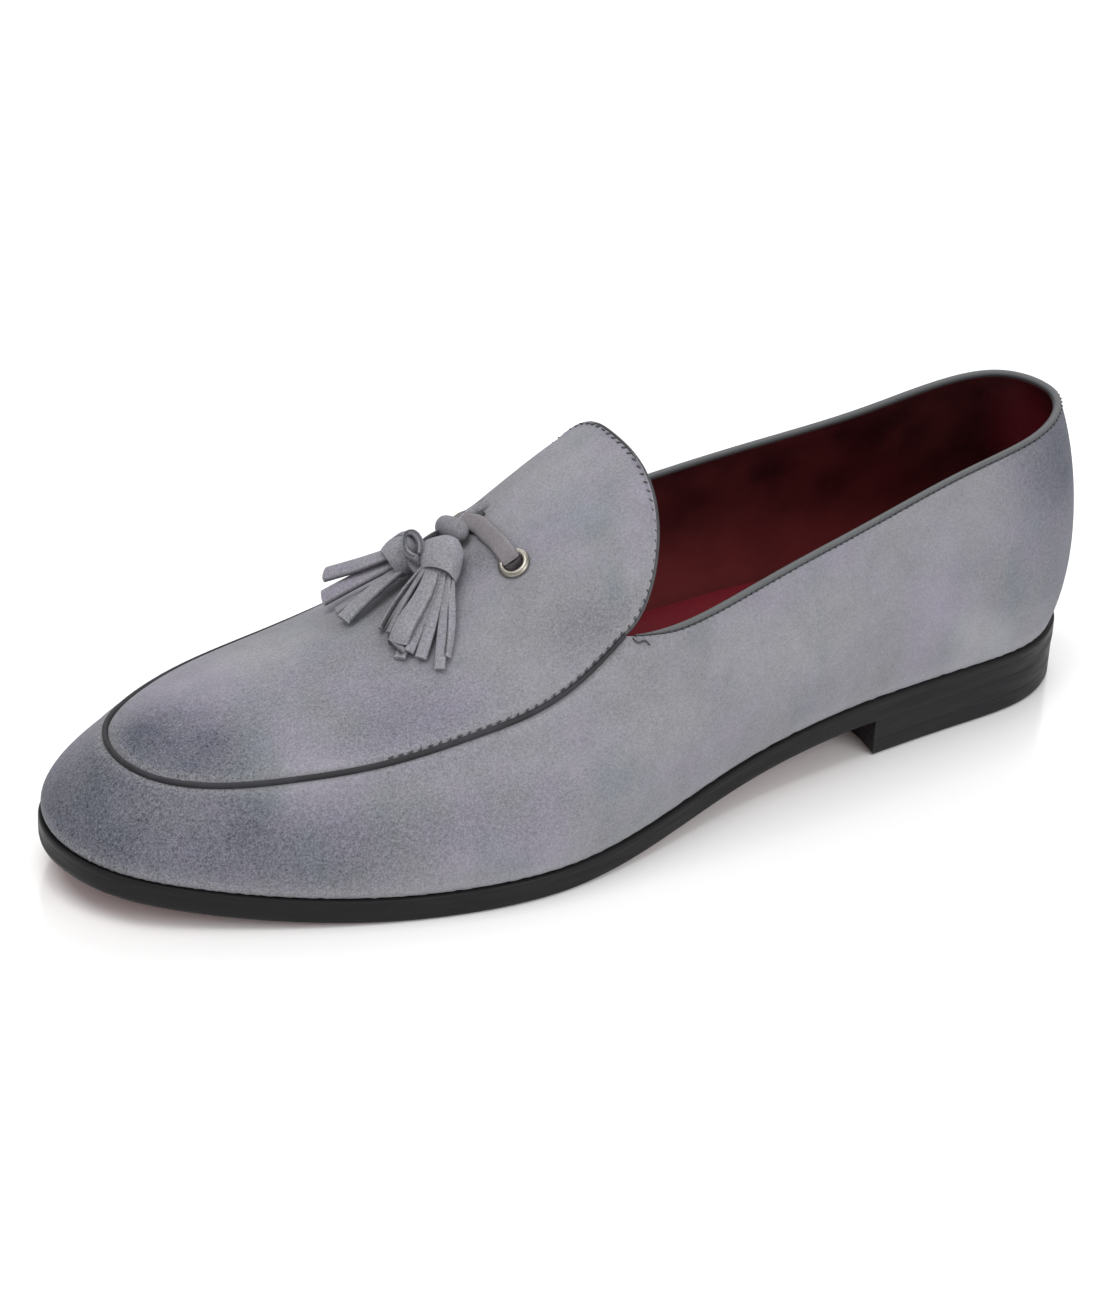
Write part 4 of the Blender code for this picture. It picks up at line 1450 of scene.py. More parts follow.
@dataclass
class Shell:
    """Vamp and quarters: suede outside and burgundy lining inside."""

    wall: float = 0.0018
    suede: float = 0.0010
    binding: float = 0.0021
    suede_overlap: float = 0.32
    lining_overlap: float = 0.55
    taper: float = 0.050
    quarter_steps: int = 120
    vamp_steps: int = 140
    rows: int = 46
    grip_front: float = 0.150
    grip_step: float = 0.00035
    fold_fade: float = 0.006
    dip: float = 0.00045
    dip_reach: float = 0.0012
    pad: float = 0.00040
    pad_place: float = 0.0030
    pad_reach: float = 0.0022
    back_seam: float = 0.00035
    back_seam_reach: float = 0.0007
    raggedness: float = 0.00006
    foot_fuzz_and_sheen: float = 0.0032
    top_fuzz: float = 0.0018

    def loop_turns(self) -> Array:
        """Stations of one side, with one just at the junction.

        Returns:
            Angles round the outline.
        """
        corner = float(LAST.turn_of(LAST.junction))
        quarter = np.linspace(0, corner, self.quarter_steps + 1)
        return np.concatenate([quarter, np.linspace(corner, math.pi, self.vamp_steps + 1)[1:]])

    def binding_height(self, along: Array) -> Array:
        """Height of the collar binding, which thins out where it meets the apron."""
        return self.binding * np.clip((LAST.junction - along) / self.taper, 0, 1)

    def grid(self, overlap: float) -> tuple[Ribs, Array, Array]:
        """Grid of the wall.

        Args:
            overlap: share of the binding's height that the wall goes up behind it.

        Returns:
            Ribs, outer points and outward directions.
        """
        ribs = LAST.ribs(*there_and_back(self.loop_turns(), closed=True))
        quarter = ribs.along < LAST.junction
        collar = LAST.collar_line(ribs.along) - (1 - overlap) * self.binding_height(ribs.along)
        edge = np.where(quarter, collar, LAST.seam_line(ribs.along))
        way = np.linspace(0, 1, self.rows)
        rows = 0.4 * way + 0.6 * (1 - np.cos(math.pi * way)) / 2
        outer = ribs.at_share(ribs.share_of(edge)[:, None] * rows)
        normals = sheet_normals(outer, closed=True)
        normals[:, 0, 2] = 0
        normals[:, 0] = unit(normals[:, 0])
        return ribs, outer, normals

    def outside(self) -> Piece:
        """Suede of the vamp and quarters with its folds.

        Returns:
            The piece.
        """
        ribs, outer, normals = self.grid(self.suede_overlap)
        from_top = np.linalg.norm(outer - outer[:, -1:], axis=-1)
        from_foot = np.linalg.norm(outer - outer[:, :1], axis=-1)
        vamp = smooth_step((ribs.along - LAST.junction + 0.02) / 0.05)[:, None]
        fade = self.fold_fade
        out = folds_at(outer) * smooth_step(from_foot / fade) * smooth_step(from_top / fade)
        out -= self.dip * hump(from_top, self.dip_reach) * vamp
        out += self.pad * hump(from_top - self.pad_place, self.pad_reach) * vamp
        back = (ribs.along < 0.05)[:, None] * hump(outer[..., 1], self.back_seam_reach)
        out -= self.back_seam * back * smooth_step(from_foot / 0.003)
        waves = [np.sin(ribs.turn * pace + 1.7 * k + ribs.side) for k, pace in enumerate((143, 211, 337))]
        surface = outer + normals * out[..., None]
        surface[:, 0, 2] += self.raggedness * sum(waves)
        inner = outer - self.suede * normals
        # Paler towards the sole and the apron seam: partly the fuzz of the raw edge, partly painted sheen
        # where the suede turns away at a grazing angle
        edge = hump(from_foot, self.foot_fuzz_and_sheen) + 0.9 * hump(from_top, self.top_fuzz) * vamp
        points, faces = thick_sheet(surface, inner, closed=True, crown_joined=False)
        shape = Mesher()
        shape.add(points, faces, edge=np.concatenate([edge.reshape(-1), np.zeros(edge.size)]))
        made = shape.piece("upper_suede", [SHOE_SUEDE], sharp=50)
        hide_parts("upper")
        return made

    def inside(self) -> Piece:
        """Burgundy lining, with the heel grip laid over it at the back.

        Returns:
            The piece.
        """
        ribs, outer, normals = self.grid(self.lining_overlap)
        front = self.grip_front - 0.25 * (outer[..., 2] - 0.040)
        grip = smooth_step((front - outer[..., 0]) / 0.004)
        base = outer - (self.suede + LINING_GAP) * normals
        inner = outer - (self.wall + self.grip_step * grip)[..., None] * normals
        inner[:, 0, 2] = LAST.sole_top(inner[:, 0, 0]) + LAST.clearance
        shape = Mesher()
        shape.add(*thick_sheet(base, inner, closed=True, crown_joined=False))
        made = shape.piece("upper_lining", [LiningLeather()], sharp=60)
        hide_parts("upper")
        return made


@dataclass
class Apron:
    """Apron and tongue in one piece, with its lining, its edging and its eyelets."""

    wall: float = 0.0020
    suede: float = 0.0012
    seam_gap: float = 0.0004
    squareness: float = 4.2
    tongue_steps: int = 60
    vamp_steps: int = 140
    rows: int = 40
    edging_reach: float = 0.0006
    edging_height: float = 0.0013
    eyelet_along: float = 0.603
    eyelet_outer: float = 0.24
    eyelet_inner: float = 0.36
    fold_fade: float = 0.006
    dip: float = 0.00030
    seam_dip: float = 0.00015
    dip_reach: float = 0.0010
    pad: float = 0.00042
    pad_place: float = 0.0026
    pad_reach: float = 0.0020
    fuzz_and_sheen: float = 0.0021

    def eyelet_place(self, side: Side, nearer: float = 1.0) -> tuple[Array, Array]:
        """Middle of an eyelet, or a place nearer the crown, and the direction square to the apron there."""
        reach = self.eyelet_outer if side is Side.OUTER else self.eyelet_inner
        return on_apron(self.eyelet_along, reach * nearer, side.value)

    def rib_reach(self) -> tuple[Ribs, Array]:
        """Ribs from the tongue's top round the toe and back, and how far out the edge is on each.

        Returns:
            The ribs, and the edge's share of the way out on each.
        """
        way = np.linspace(0, 1, self.tongue_steps, endpoint=False)
        turn = way ** 2.1 * math.pi / 2
        width = np.sin(turn) ** (2 / self.squareness)
        along = LAST.junction - (LAST.junction - LAST.tongue_top) * np.cos(turn)
        vamp = np.linspace(float(LAST.turn_of(LAST.junction)), math.pi, self.vamp_steps + 1)
        ribs = LAST.ribs(*there_and_back(np.concatenate([LAST.turn_of(along), vamp])))
        corner = LAST.ribs(vamp[:1], np.ones(1))
        start = LAST.seam_line(np.array([LAST.junction])) + self.seam_gap
        share = ribs.share_of(LAST.seam_line(ribs.along) + self.seam_gap)
        narrow = np.concatenate([width, np.ones(len(vamp))])
        narrow = np.concatenate([narrow, narrow[-2::-1]])
        share[ribs.along < LAST.junction - 1e-9] = float(corner.share_of(start)[0])
        return ribs, ribs.reach_of(share) * narrow

    def grid(self) -> tuple[Ribs, Array, Array]:
        """Ribs, outer points from the edge to the crown, and outward directions.

        Returns:
            Ribs, points and unit directions.
        """
        ribs, reach = self.rib_reach()
        way = np.linspace(0, 1, self.rows)
        rows = 1 - (0.55 * way + 0.45 * way ** 2)
        outer = ribs.at_reach(reach[:, None] * rows)
        normals = ribs.normals(reach[:, None] * rows)
        normals[:, -1] = ribs.crown_normals()
        return ribs, outer, normals

    def holes(self, made: Piece) -> None:
        """Cuts the two eyelet holes through a sheet.

        Args:
            made: the sheet.
        """
        cutters = []
        for side in Side:
            centre, normal = self.eyelet_place(side)
            first, second = axes_from(normal)
            radius = Eyelet.barrel + LAST.clearance
            rings = [[centre + normal * z + radius * (first * math.cos(a) + second * math.sin(a))
                      for a in circle(40)] for z in (-0.004, 0.004)]
            shape = Mesher()
            shape.add(*swept(np.array(rings)))
            cutter = shape.piece(f"cutter_{side.name.lower()}", [Nickel()])
            cut = made.modifiers.new("hole", "BOOLEAN")
            cut.operation = "DIFFERENCE"
            cut.solver = "EXACT"
            cut.object = cutter
            cutters.append(cutter)
        baked(made)
        for cutter in cutters:
            bpy.data.objects.remove(cutter, do_unlink=True)

    def outside(self) -> Piece:
        """Suede of the apron and tongue, with its edge turned down at the seam.

        Returns:
            The piece.
        """
        ribs, outer, normals = self.grid()
        from_edge = np.linalg.norm(outer - outer[:, :1], axis=-1)
        vamp = smooth_step((ribs.along - LAST.junction + 0.01) / 0.04)[:, None]
        out = folds_at(outer) * smooth_step(from_edge / self.fold_fade)
        out -= (self.dip + self.seam_dip * vamp) * hump(from_edge, self.dip_reach)
        out += self.pad * hump(from_edge - self.pad_place, self.pad_reach)
        surface = outer + normals * out[..., None]
        inner = outer - self.suede * normals
        # Paler towards the seam and the tongue's edge: partly the fuzz of the raw edge, partly painted sheen
        # at a grazing angle
        edge = hump(from_edge, self.fuzz_and_sheen)
        points, faces = thick_sheet(surface, inner, closed=False, crown_joined=True)
        shape = Mesher()
        shape.add(points, faces, edge=np.concatenate([edge.reshape(-1), edge.reshape(-1) * 0.5]))
        made = shape.piece("apron_suede", [SHOE_SUEDE], sharp=50)
        self.holes(made)
        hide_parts("apron")
        return made

    def inside(self) -> Piece:
        """Lining under the apron and the tongue.

        Returns:
            The piece.
        """
        _, outer, normals = self.grid()
        base = outer - (self.suede + LINING_GAP) * normals
        inner = outer - self.wall * normals
        shape = Mesher()
        shape.add(*thick_sheet(base, inner, closed=False, crown_joined=True))
        made = shape.piece("apron_lining", [LiningLeather()], sharp=60)
        self.holes(made)
        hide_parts("apron")
        return made

    def edging(self) -> Piece:
        """Thin dark edging round the tongue, from junction to junction.

        Returns:
            The piece.
        """
        ribs, outer, normals = self.grid()
        tongue = np.flatnonzero(ribs.along < LAST.junction + 0.004)
        middle_rib = len(ribs.along) // 2
        run = np.concatenate([tongue[tongue > middle_rib], tongue[tongue <= middle_rib][1:]])
        run = run[apart(outer[run, 0])]
        rim = outer[run, 0]
        normal = normals[run, 0]
        onward = unit(np.gradient(rim, axis=0))
        outwards = unit(np.cross(onward, normal))
        if (outwards * (rim - outer[run, 3])).sum() < 0:
            outwards = -outwards
        middle = rim - normal * self.wall / 2
        rings = [[middle[i] + outwards[i] * math.cos(a) * self.edging_reach
                  + normal[i] * math.sin(a) * self.edging_height for a in circle(14)]
                 for i in range(len(rim))]
        shape = Mesher()
        shape.add(*swept(np.array(rings)))
        leather = TrimLeather("edging", (0.030, 0.030, 0.036), (0.060, 0.060, 0.068))
        made = shape.piece("tongue_edging", [leather], sharp=60)
        return made


@dataclass
class Trim:
    """Piping over the apron seam and the binding of the collar."""

    shell: Shell
    piping_width: float = 0.0015
    piping_height: float = 0.0009
    piping_sink: float = 0.0003
    binding_proud: float = 0.0002
    binding_stop: float = 0.010
    thread_along: tuple[float, ...] = (0.541, 0.536, 0.531, 0.527)
    thread_below: tuple[float, ...] = (0.0006, 0.0017, 0.0015, 0.0026)
    thread_radius: float = 0.00030

    def piping(self) -> Piece:
        """Folded leather bead over the seam.

        Returns:
            The piece.
        """
        corner = float(LAST.turn_of(LAST.junction))
        ribs = LAST.ribs(*there_and_back(np.linspace(corner, math.pi, 150)))
        share = ribs.share_of(LAST.seam_line(ribs.along) + Apron.seam_gap / 2)
        here, uphill, outward = surface_frame(ribs, share)
        bead = [(math.cos(a), math.sin(a) ** 0.8) for a in np.linspace(0, math.pi, 13)]
        rings = [[here[i] + uphill[i] * c * self.piping_width / 2
                  + outward[i] * (s * (self.piping_height + self.piping_sink) - self.piping_sink)
                  for c, s in bead]
                 for i in range(len(here))]
        shape = Mesher()
        shape.add(*swept(np.array(rings)))
        leather = TrimLeather("piping_leather", (0.010, 0.010, 0.013), (0.034, 0.031, 0.040), roughness=0.75)
        made = shape.piece("piping", [leather], sharp=60)
        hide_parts("apron_piping")
        return made

    def tack(self) -> Piece:
        """Loose end of thread under the front of the binding.

        Returns:
            The piece.
        """
        along = np.array(self.thread_along)
        ribs = LAST.ribs(LAST.turn_of(along), np.ones(len(along)))
        height = LAST.collar_line(along) - np.array(self.thread_below)
        here, uphill, outward = surface_frame(ribs, ribs.share_of(height))
        path = smooth_path(here + outward * self.thread_radius, 16)
        rings = [[point + self.thread_radius * (outward[1] * math.sin(a) + uphill[1] * math.cos(a))
                  for a in circle(8)]
                 for point in path]
        shape = Mesher()
        shape.add(*swept(np.array(rings)))
        made = shape.piece("tack", [Thread()])
        return made

    def binding_frame(self) -> tuple[Ribs, Array, Array, Array, Array]:
        """Ribs, heights, middle points and directions of the collar's binding.

        Returns:
            Ribs, heights, middle points, uphill and outward directions.
        """
        stations = self.shell.loop_turns()[:self.shell.quarter_steps]
        stop = float(LAST.turn_of(LAST.junction - self.binding_stop))
        half = np.concatenate([stations[stations < stop - 0.002], [stop]])
        ribs = LAST.ribs(*there_and_back(half[::-1]))
        height = self.shell.binding_height(ribs.along) - LAST.clearance
        here, uphill, outward = surface_frame(ribs, ribs.share_of(LAST.collar_line(ribs.along) - height / 2))
        return ribs, height, here - outward * self.shell.wall / 2, uphill, outward

    def binding(self) -> Piece:
        """Roll over the top line, with a sunk stitched band under it.

        Returns:
            The piece.
        """
        ribs, height, middle, uphill, outward = self.binding_frame()
        width = self.shell.wall + 2 * self.binding_proud
        # Each corner is across, up and band value: 0 on the top of the roll, 1 on its sides, darkened partly
        # by the sunk stitched groove and partly as painted shade
        profile = [
            (0.50, -1.0, 1), (0.60, -0.92, 1), (0.66, -0.70, 1), (0.70, -0.45, 1), (0.84, -0.34, 1),
            (0.86, -0.12, 1), (0.88, -0.02, 0.9), (0.98, 0.10, 0), (0.98, 0.55, 0), (0.80, 0.80, 0),
            (0.52, 0.95, 0), (0.18, 1.0, 0), (-0.18, 1.0, 0.1), (-0.52, 0.95, 0.6), (-0.80, 0.80, 1),
            (-0.95, 0.55, 1), (-1.0, 0.25, 1), (-0.96, 0.0, 1), (-0.80, -0.16, 1), (-0.78, -0.30, 1),
            (-0.92, -0.48, 0.5), (-0.95, -0.72, 0.2), (-0.86, -0.92, 0.8), (-0.62, -1.0, 1),
        ]
        rings = [[middle[i] + outward[i] * a * width / 2 + uphill[i] * b * height[i] / 2
                  for a, b, _ in profile]
                 for i in range(len(middle))]
        points, faces = swept(np.array(rings))
        shape = Mesher()
        shape.add(points, faces, band=np.tile([band for _, _, band in profile], len(middle)))
        made = shape.piece("binding", [BindingLeather()], sharp=60)
        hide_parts("collar_binding")
        return made


@dataclass
class Stitches:
    """A row of stitches set along a line by Geometry Nodes."""

    name: str
    line: Array
    pitch: float = 0.0024
    length: float = 0.0015
    radius: float = 0.00022
    scatter: float = 0.12
    seed: int = 3
    slant: float = 0.0

    def tree(self, finish: Finish) -> bpy.types.NodeTree:
        """Builds the node group with its named inputs.

        Args:
            finish: the thread's finish.

        Returns:
            The node group.
        """
        group = bpy.data.node_groups.new(f"{self.name}_nodes", "GeometryNodeTree")
        face = group.interface
        face.new_socket("Geometry", in_out="INPUT", socket_type="NodeSocketGeometry")
        for title in ("Pitch", "Length", "Radius", "Scatter", "Slant"):
            face.new_socket(title, in_out="INPUT", socket_type="NodeSocketFloat")
        face.new_socket("Seed", in_out="INPUT", socket_type="NodeSocketInt")
        face.new_socket("Geometry", in_out="OUTPUT", socket_type="NodeSocketGeometry")

        def add(kind: str, **settings: object) -> bpy.types.Node:
            """Adds a node with its properties.

            Args:
                kind: the node's type.
                settings: its properties.

            Returns:
                The node.
            """
            made = group.nodes.new(kind)
            for title, setting in settings.items():
                setattr(made, title, setting)
            return made

        given = add("NodeGroupInput")
        result = add("NodeGroupOutput")
        curve = add("GeometryNodeMeshToCurve")
        spaced = add("GeometryNodeResampleCurve", mode="LENGTH")
        ball = add("GeometryNodeMeshUVSphere")
        ball.inputs["Segments"].default_value = 8
        ball.inputs["Rings"].default_value = 6
        ball.inputs["Radius"].default_value = 1.0
        place = add("GeometryNodeInstanceOnPoints")
        tangent = add("GeometryNodeInputTangent")
        turn = add("FunctionNodeAlignRotationToVector", axis="X")
        slanted = add("FunctionNodeRotateRotation", rotation_space="LOCAL")
        euler = add("ShaderNodeCombineXYZ")
        jitter = add("FunctionNodeRandomValue", data_type="FLOAT")
        angle = add("ShaderNodeMath", operation="ADD")
        size = add("ShaderNodeCombineXYZ")
        half = add("ShaderNodeMath", operation="MULTIPLY")
        half.inputs[1].default_value = 0.5
        low = add("ShaderNodeMath", operation="MULTIPLY")
        low.inputs[1].default_value = -1.0
        real = add("GeometryNodeRealizeInstances")
        smooth = add("GeometryNodeSetShadeSmooth")
        dress = add("GeometryNodeSetMaterial")
        dress.inputs["Material"].default_value = finish.material()
        for source, output, target, entry in (
            (given, "Geometry", curve, "Mesh"), (curve, "Curve", spaced, "Curve"),
            (given, "Pitch", spaced, "Length"), (spaced, "Curve", place, "Points"),
            (ball, "Mesh", place, "Instance"), (tangent, "Tangent", turn, "Vector"),
            (given, "Scatter", jitter, "Max"), (given, "Scatter", low, 0), (low, 0, jitter, "Min"),
            (given, "Seed", jitter, "Seed"), (jitter, "Value", angle, 0), (given, "Slant", angle, 1),
            (angle, 0, euler, "Z"), (turn, "Rotation", slanted, "Rotation"),
            (euler, "Vector", slanted, "Rotate By"), (slanted, "Rotation", place, "Rotation"),
            (given, "Length", half, 0), (half, 0, size, "X"), (given, "Radius", size, "Y"),
            (given, "Radius", size, "Z"), (size, "Vector", place, "Scale"),
            (place, "Instances", real, "Geometry"), (real, "Geometry", smooth, "Geometry"),
            (smooth, "Geometry", dress, "Geometry"), (dress, "Geometry", result, "Geometry"),
        ):
            group.links.new(source.outputs[output], target.inputs[entry])
        return group

    def piece(self, finish: Finish) -> Piece:
        """The row as one plain mesh.

        Args:
            finish: the thread's finish.

        Returns:
            The row.
        """
        points = self.line + TO_ROW
        mesh = bpy.data.meshes.new(self.name)
        mesh.from_pydata(points.tolist(), [(i, i + 1) for i in range(len(points) - 1)], [])
        made = linked(self.name, mesh)
        group = self.tree(finish)
        nodes = made.modifiers.new(self.name, "NODES")
        nodes.node_group = group
        for item in group.interface.items_tree:
            if item.item_type == "SOCKET" and item.in_out == "INPUT" and item.name != "Geometry":
                nodes[item.identifier] = getattr(self, item.name.lower())
        made.update_tag()
        bpy.context.view_layer.update()
        baked(made)
        made.data.materials.clear()
        made.data.materials.append(finish.material())
        return made


@dataclass
class Eyelet:
    """Eyelet through the apron: a rolled nickel ring."""

    apron: Apron
    side: Side
    hole: float = 0.0024
    barrel: float = 0.0029
    flange: float = 0.0041
    rim: float = 0.0010
    seat: float = 0.0004
    steps: int = 56

    def piece(self, node: str) -> Piece:
        """The ring, which stands for one solid.

        Args:
            node: the solid's name.

        Returns:
            The piece.
        """
        centre, normal = self.apron.eyelet_place(self.side)
        first, second = axes_from(normal)
        foot = -self.apron.wall - LAST.clearance
        high = self.seat + self.rim
        profile = [
            (self.hole, foot), (self.barrel, foot), (self.barrel, self.seat), (self.flange, self.seat),
            (self.flange, self.seat + 0.22 * self.rim), (self.flange - 0.0001, self.seat + 0.48 * self.rim),
            (self.flange - 0.0004, self.seat + 0.78 * self.rim), (self.flange - 0.0008, high - 0.00004),
            (self.barrel + 0.00005, high), (self.barrel - 0.0002, high - 0.00012),
            (self.hole + 0.00010, high - 0.0004), (self.hole, self.seat + 0.1 * self.rim),
        ]
        rings = []
        for angle in circle(self.steps):
            spoke = first * math.cos(angle) + second * math.sin(angle)
            rings.append([centre + spoke * r + normal * z for r, z in profile])
        shape = Mesher()
        shape.add(*swept(np.array(rings), closed_path=True))
        made = shape.piece(f"{node}_dressed", [Nickel()], sharp=50)
        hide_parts(node)
        return made


@dataclass
class Lace:
    """Suede lace from one eyelet through the knot to the other."""

    apron: Apron
    width: float = 0.0050
    thickness: float = 0.0013
    outer_way: tuple[Point, ...] = (
        (176.0, 2.5, 1.1), (176.1, -2.4, 1.0), (175.8, -7.0, 1.1), (176.4, -10.0, 2.1))
    inner_way: tuple[Point, ...] = (
        (176.2, -14.2, 2.0), (176.8, -12.6, 2.2))
    steps: int = 120

    def line(self) -> tuple[Array, Array]:
        """Middle line and broad directions, on the last.

        Returns:
            Points and unit directions.
        """
        over = Eyelet.seat + Eyelet.rim + LAST.clearance + self.thickness / 2
        path: list[Array] = []
        normals: list[Array] = []
        for side in Side:
            centre, normal = self.apron.eyelet_place(side)
            ahead, _ = self.apron.eyelet_place(side, 0.6)
            inward = unit(ahead - centre)
            steep = unit(inward + normal * 0.3)
            run = [
                (centre - normal * 0.0050 - inward * 0.0004, steep),
                (centre - normal * 0.0022 - inward * 0.0002, steep),
                (centre - normal * 0.0002 + inward * 0.0004, unit(inward + normal * 0.6)),
                (centre + normal * 0.0014 + inward * 0.0016, unit(inward * -0.5 + normal)),
                (centre + normal * (over - 0.0003) + inward * 0.0033, unit(inward * -0.15 + normal)),
            ]
            for x, y, lift in self.outer_way if side is Side.OUTER else self.inner_way:
                run.append(above_apron(x * MM, y * MM, lift * MM))
            if side is Side.INNER:
                run = run[::-1]
            path += [point for point, _ in run]
            normals += [up for _, up in run]
        smooth = smooth_path(np.array(path), self.steps)
        knots = way_along(np.array(path))
        at = np.linspace(0, knots[-1], self.steps)
        ups = np.stack([np.interp(at, knots, np.array(normals)[:, k]) for k in range(3)], -1)
        return smooth, unit(ups)

    def piece(self, with_pieces: list[Piece]) -> Piece:
        """The lace.

        Args:
            with_pieces: the knot and the tassels; not used.

        Returns:
            The piece.
        """
        path, ups = self.line()
        count = len(path)
        way = np.abs(np.linspace(-1, 1, count))
        end = smooth_step((way - 0.70) / 0.16)
        width = self.width * (1 - 0.18 * end)
        thickness = self.thickness * (1 + 0.10 * end)
        curl = 0.25 + 0.9 * end
        rings = flat_rings(path, ups, width, thickness, curl, np.zeros(count))
        shape = Mesher()
        points, faces = swept(rings)
        across = np.tile(across_section(), count)
        under = np.tile(under_section(), count)
        shape.add(points, faces, edge=0.35 * smooth_step((across - 0.6) / 0.2) * (1 - under),
                  shade=np.maximum(0.6 * under, 0.5 * smooth_step((across - 0.8) / 0.2)))
        made = shape.piece("lace_dressed", [LACE_SUEDE], sharp=55)
        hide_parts("lace")
        shown = path + TO_ROW
        length = float(np.linalg.norm(np.diff(shown, axis=0), axis=1).sum())
        log.info("lace is %.1f mm long", length / MM)
        return made


def ribbon(shape: Mesher, way: list[Point], width: float, look: Array,
           thickness: float = 0.0011, shade: float = 0.0) -> None:
    """Adds a short ribbon.

    Args:
        shape: the mesh that it joins.
        way: plan places and lifts above the apron, in millimetres.
        width: its width in metres.
        look: the way from one of its edges to the other.
        thickness: its thickness in metres.
        shade: how dark its broad face is, from 0 to 1.
    """
    placed = [above_apron(x * MM, y * MM, lift * MM)[0] for x, y, lift in way]
    path = smooth_path(np.array(placed), 30)
    onward = unit(np.gradient(path, axis=0))
    normals = unit(np.cross(onward, look[None, :]))
    count = len(path)
    rings = flat_rings(path, normals, np.full(count, width), np.full(count, thickness), np.full(count, 0.2),
                       np.zeros(count))
    points, faces = swept(rings)
    across = np.tile(across_section(), count)
    shape.add(points, faces, edge=0.6 * hump(across - 0.75, 0.15),
              shade=np.maximum(shade, 0.75 * smooth_step((across - 0.8) / 0.2)))


@dataclass
class Knot:
    """Knot of the lace: a thick roll of suede with a short end beside it."""

    place: Point = (180.2, -9.9, 3.8)
    length: float = 0.0056
    width: float = 0.0120
    height: float = 0.0056
    bow: float = 0.0010
    stations: int = 41
    corners: int = 44

    def roll(self, shape: Mesher) -> None:
        """Adds the roll, which bows over the crossing.

        Args:
            shape: the mesh that it joins.
        """
        x, y, lift = self.place
        middle, normal = above_apron(x * MM, y * MM, lift * MM)
        forward, sideways = axes_from(normal)
        rings = []
        shade = []
        for place in np.sin(np.linspace(-math.pi / 2, math.pi / 2, self.stations)):
            size = max(0.10, (1 - abs(place) ** 3.6)) ** 0.5
            start = 3.6 + 0.5 * place
            centre = middle + sideways * place * self.width / 2 - normal * self.bow * place ** 2
            ring = []
            for k in range(self.corners):
                lap = k / (self.corners - 1) * 0.995
                angle = start + lap * 2 * math.pi
                grow = size * (0.95 + 0.12 * smooth_step(np.array(lap)))
                grow *= 1 + 0.03 * math.sin(2 * angle + 4 * place)
                ring.append(centre + forward * self.length / 2 * grow * math.cos(angle)
                            + normal * self.height / 2 * grow * math.sin(angle))
                low = 0.75 * smooth_step(np.array(0.25 - math.sin(angle)))
                shade.append(max(0.22, float(low), 0.8 * (k < 2)))
            rings.append(ring)
        points, faces = swept(np.array(rings))
        shape.add(points, faces, edge=np.zeros(len(points)), shade=np.array(shade))

    def ends(self, shape: Mesher) -> None:
        """Adds the short end that stands up beside the lace, a flat ribbon of painted shadow beside it, and
        the necks of the tassels.

        Args:
            shape: the mesh that it joins.
        """
        loose = [(178.0, -11.5, 2.4), (175.6, -12.4, 2.0), (173.0, -12.8, 1.4), (170.2, -12.8, 0.7)]
        ribbon(shape, loose, 0.0026, unit(np.array([0.1, -0.55, 0.8])))
        # painted shadow: a flat dark ribbon on the apron where the fold of the lace leaves a shaded gap
        painted_shadow_ribbon = [(177.4, -9.6, 0.8), (175.0, -10.2, 0.8), (172.6, -10.6, 0.7)]
        ribbon(shape, painted_shadow_ribbon, 0.0016, np.array([0.0, 1.0, 0.0]), shade=0.9)
        near_neck = [(180.4, -8.6, 2.2), (182.4, -7.4, 3.6), (184.8, -4.8, 5.0)]
        ribbon(shape, near_neck, 0.0024, unit(np.array([0.2, 0.9, 0.3])), shade=0.3)
        far_neck = [(180.2, -12.2, 2.4), (183.6, -12.2, 3.8), (188.2, -11.4, 4.8)]
        ribbon(shape, far_neck, 0.0052, unit(np.array([0.1, 0.5, 0.85])), shade=0.45)

    def piece(self) -> Piece:
        """The knot as one mesh.

        Returns:
            The piece.
        """
        shape = Mesher()
        self.roll(shape)
        self.ends(shape)
        made = shape.piece("knot_dressed", [TASSEL_SUEDE], sharp=60)
        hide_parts("lace_knot")
        return made


@dataclass(frozen=True)
class Strip:
    """One strip of a tassel, by plan places and lifts above the apron in millimetres on the last."""

    way: tuple[Point, ...]
    width: float
    curl: float = 0.5
    twist: float = 0.0
    thickness: float = 1.25
    narrow: float = 0.62


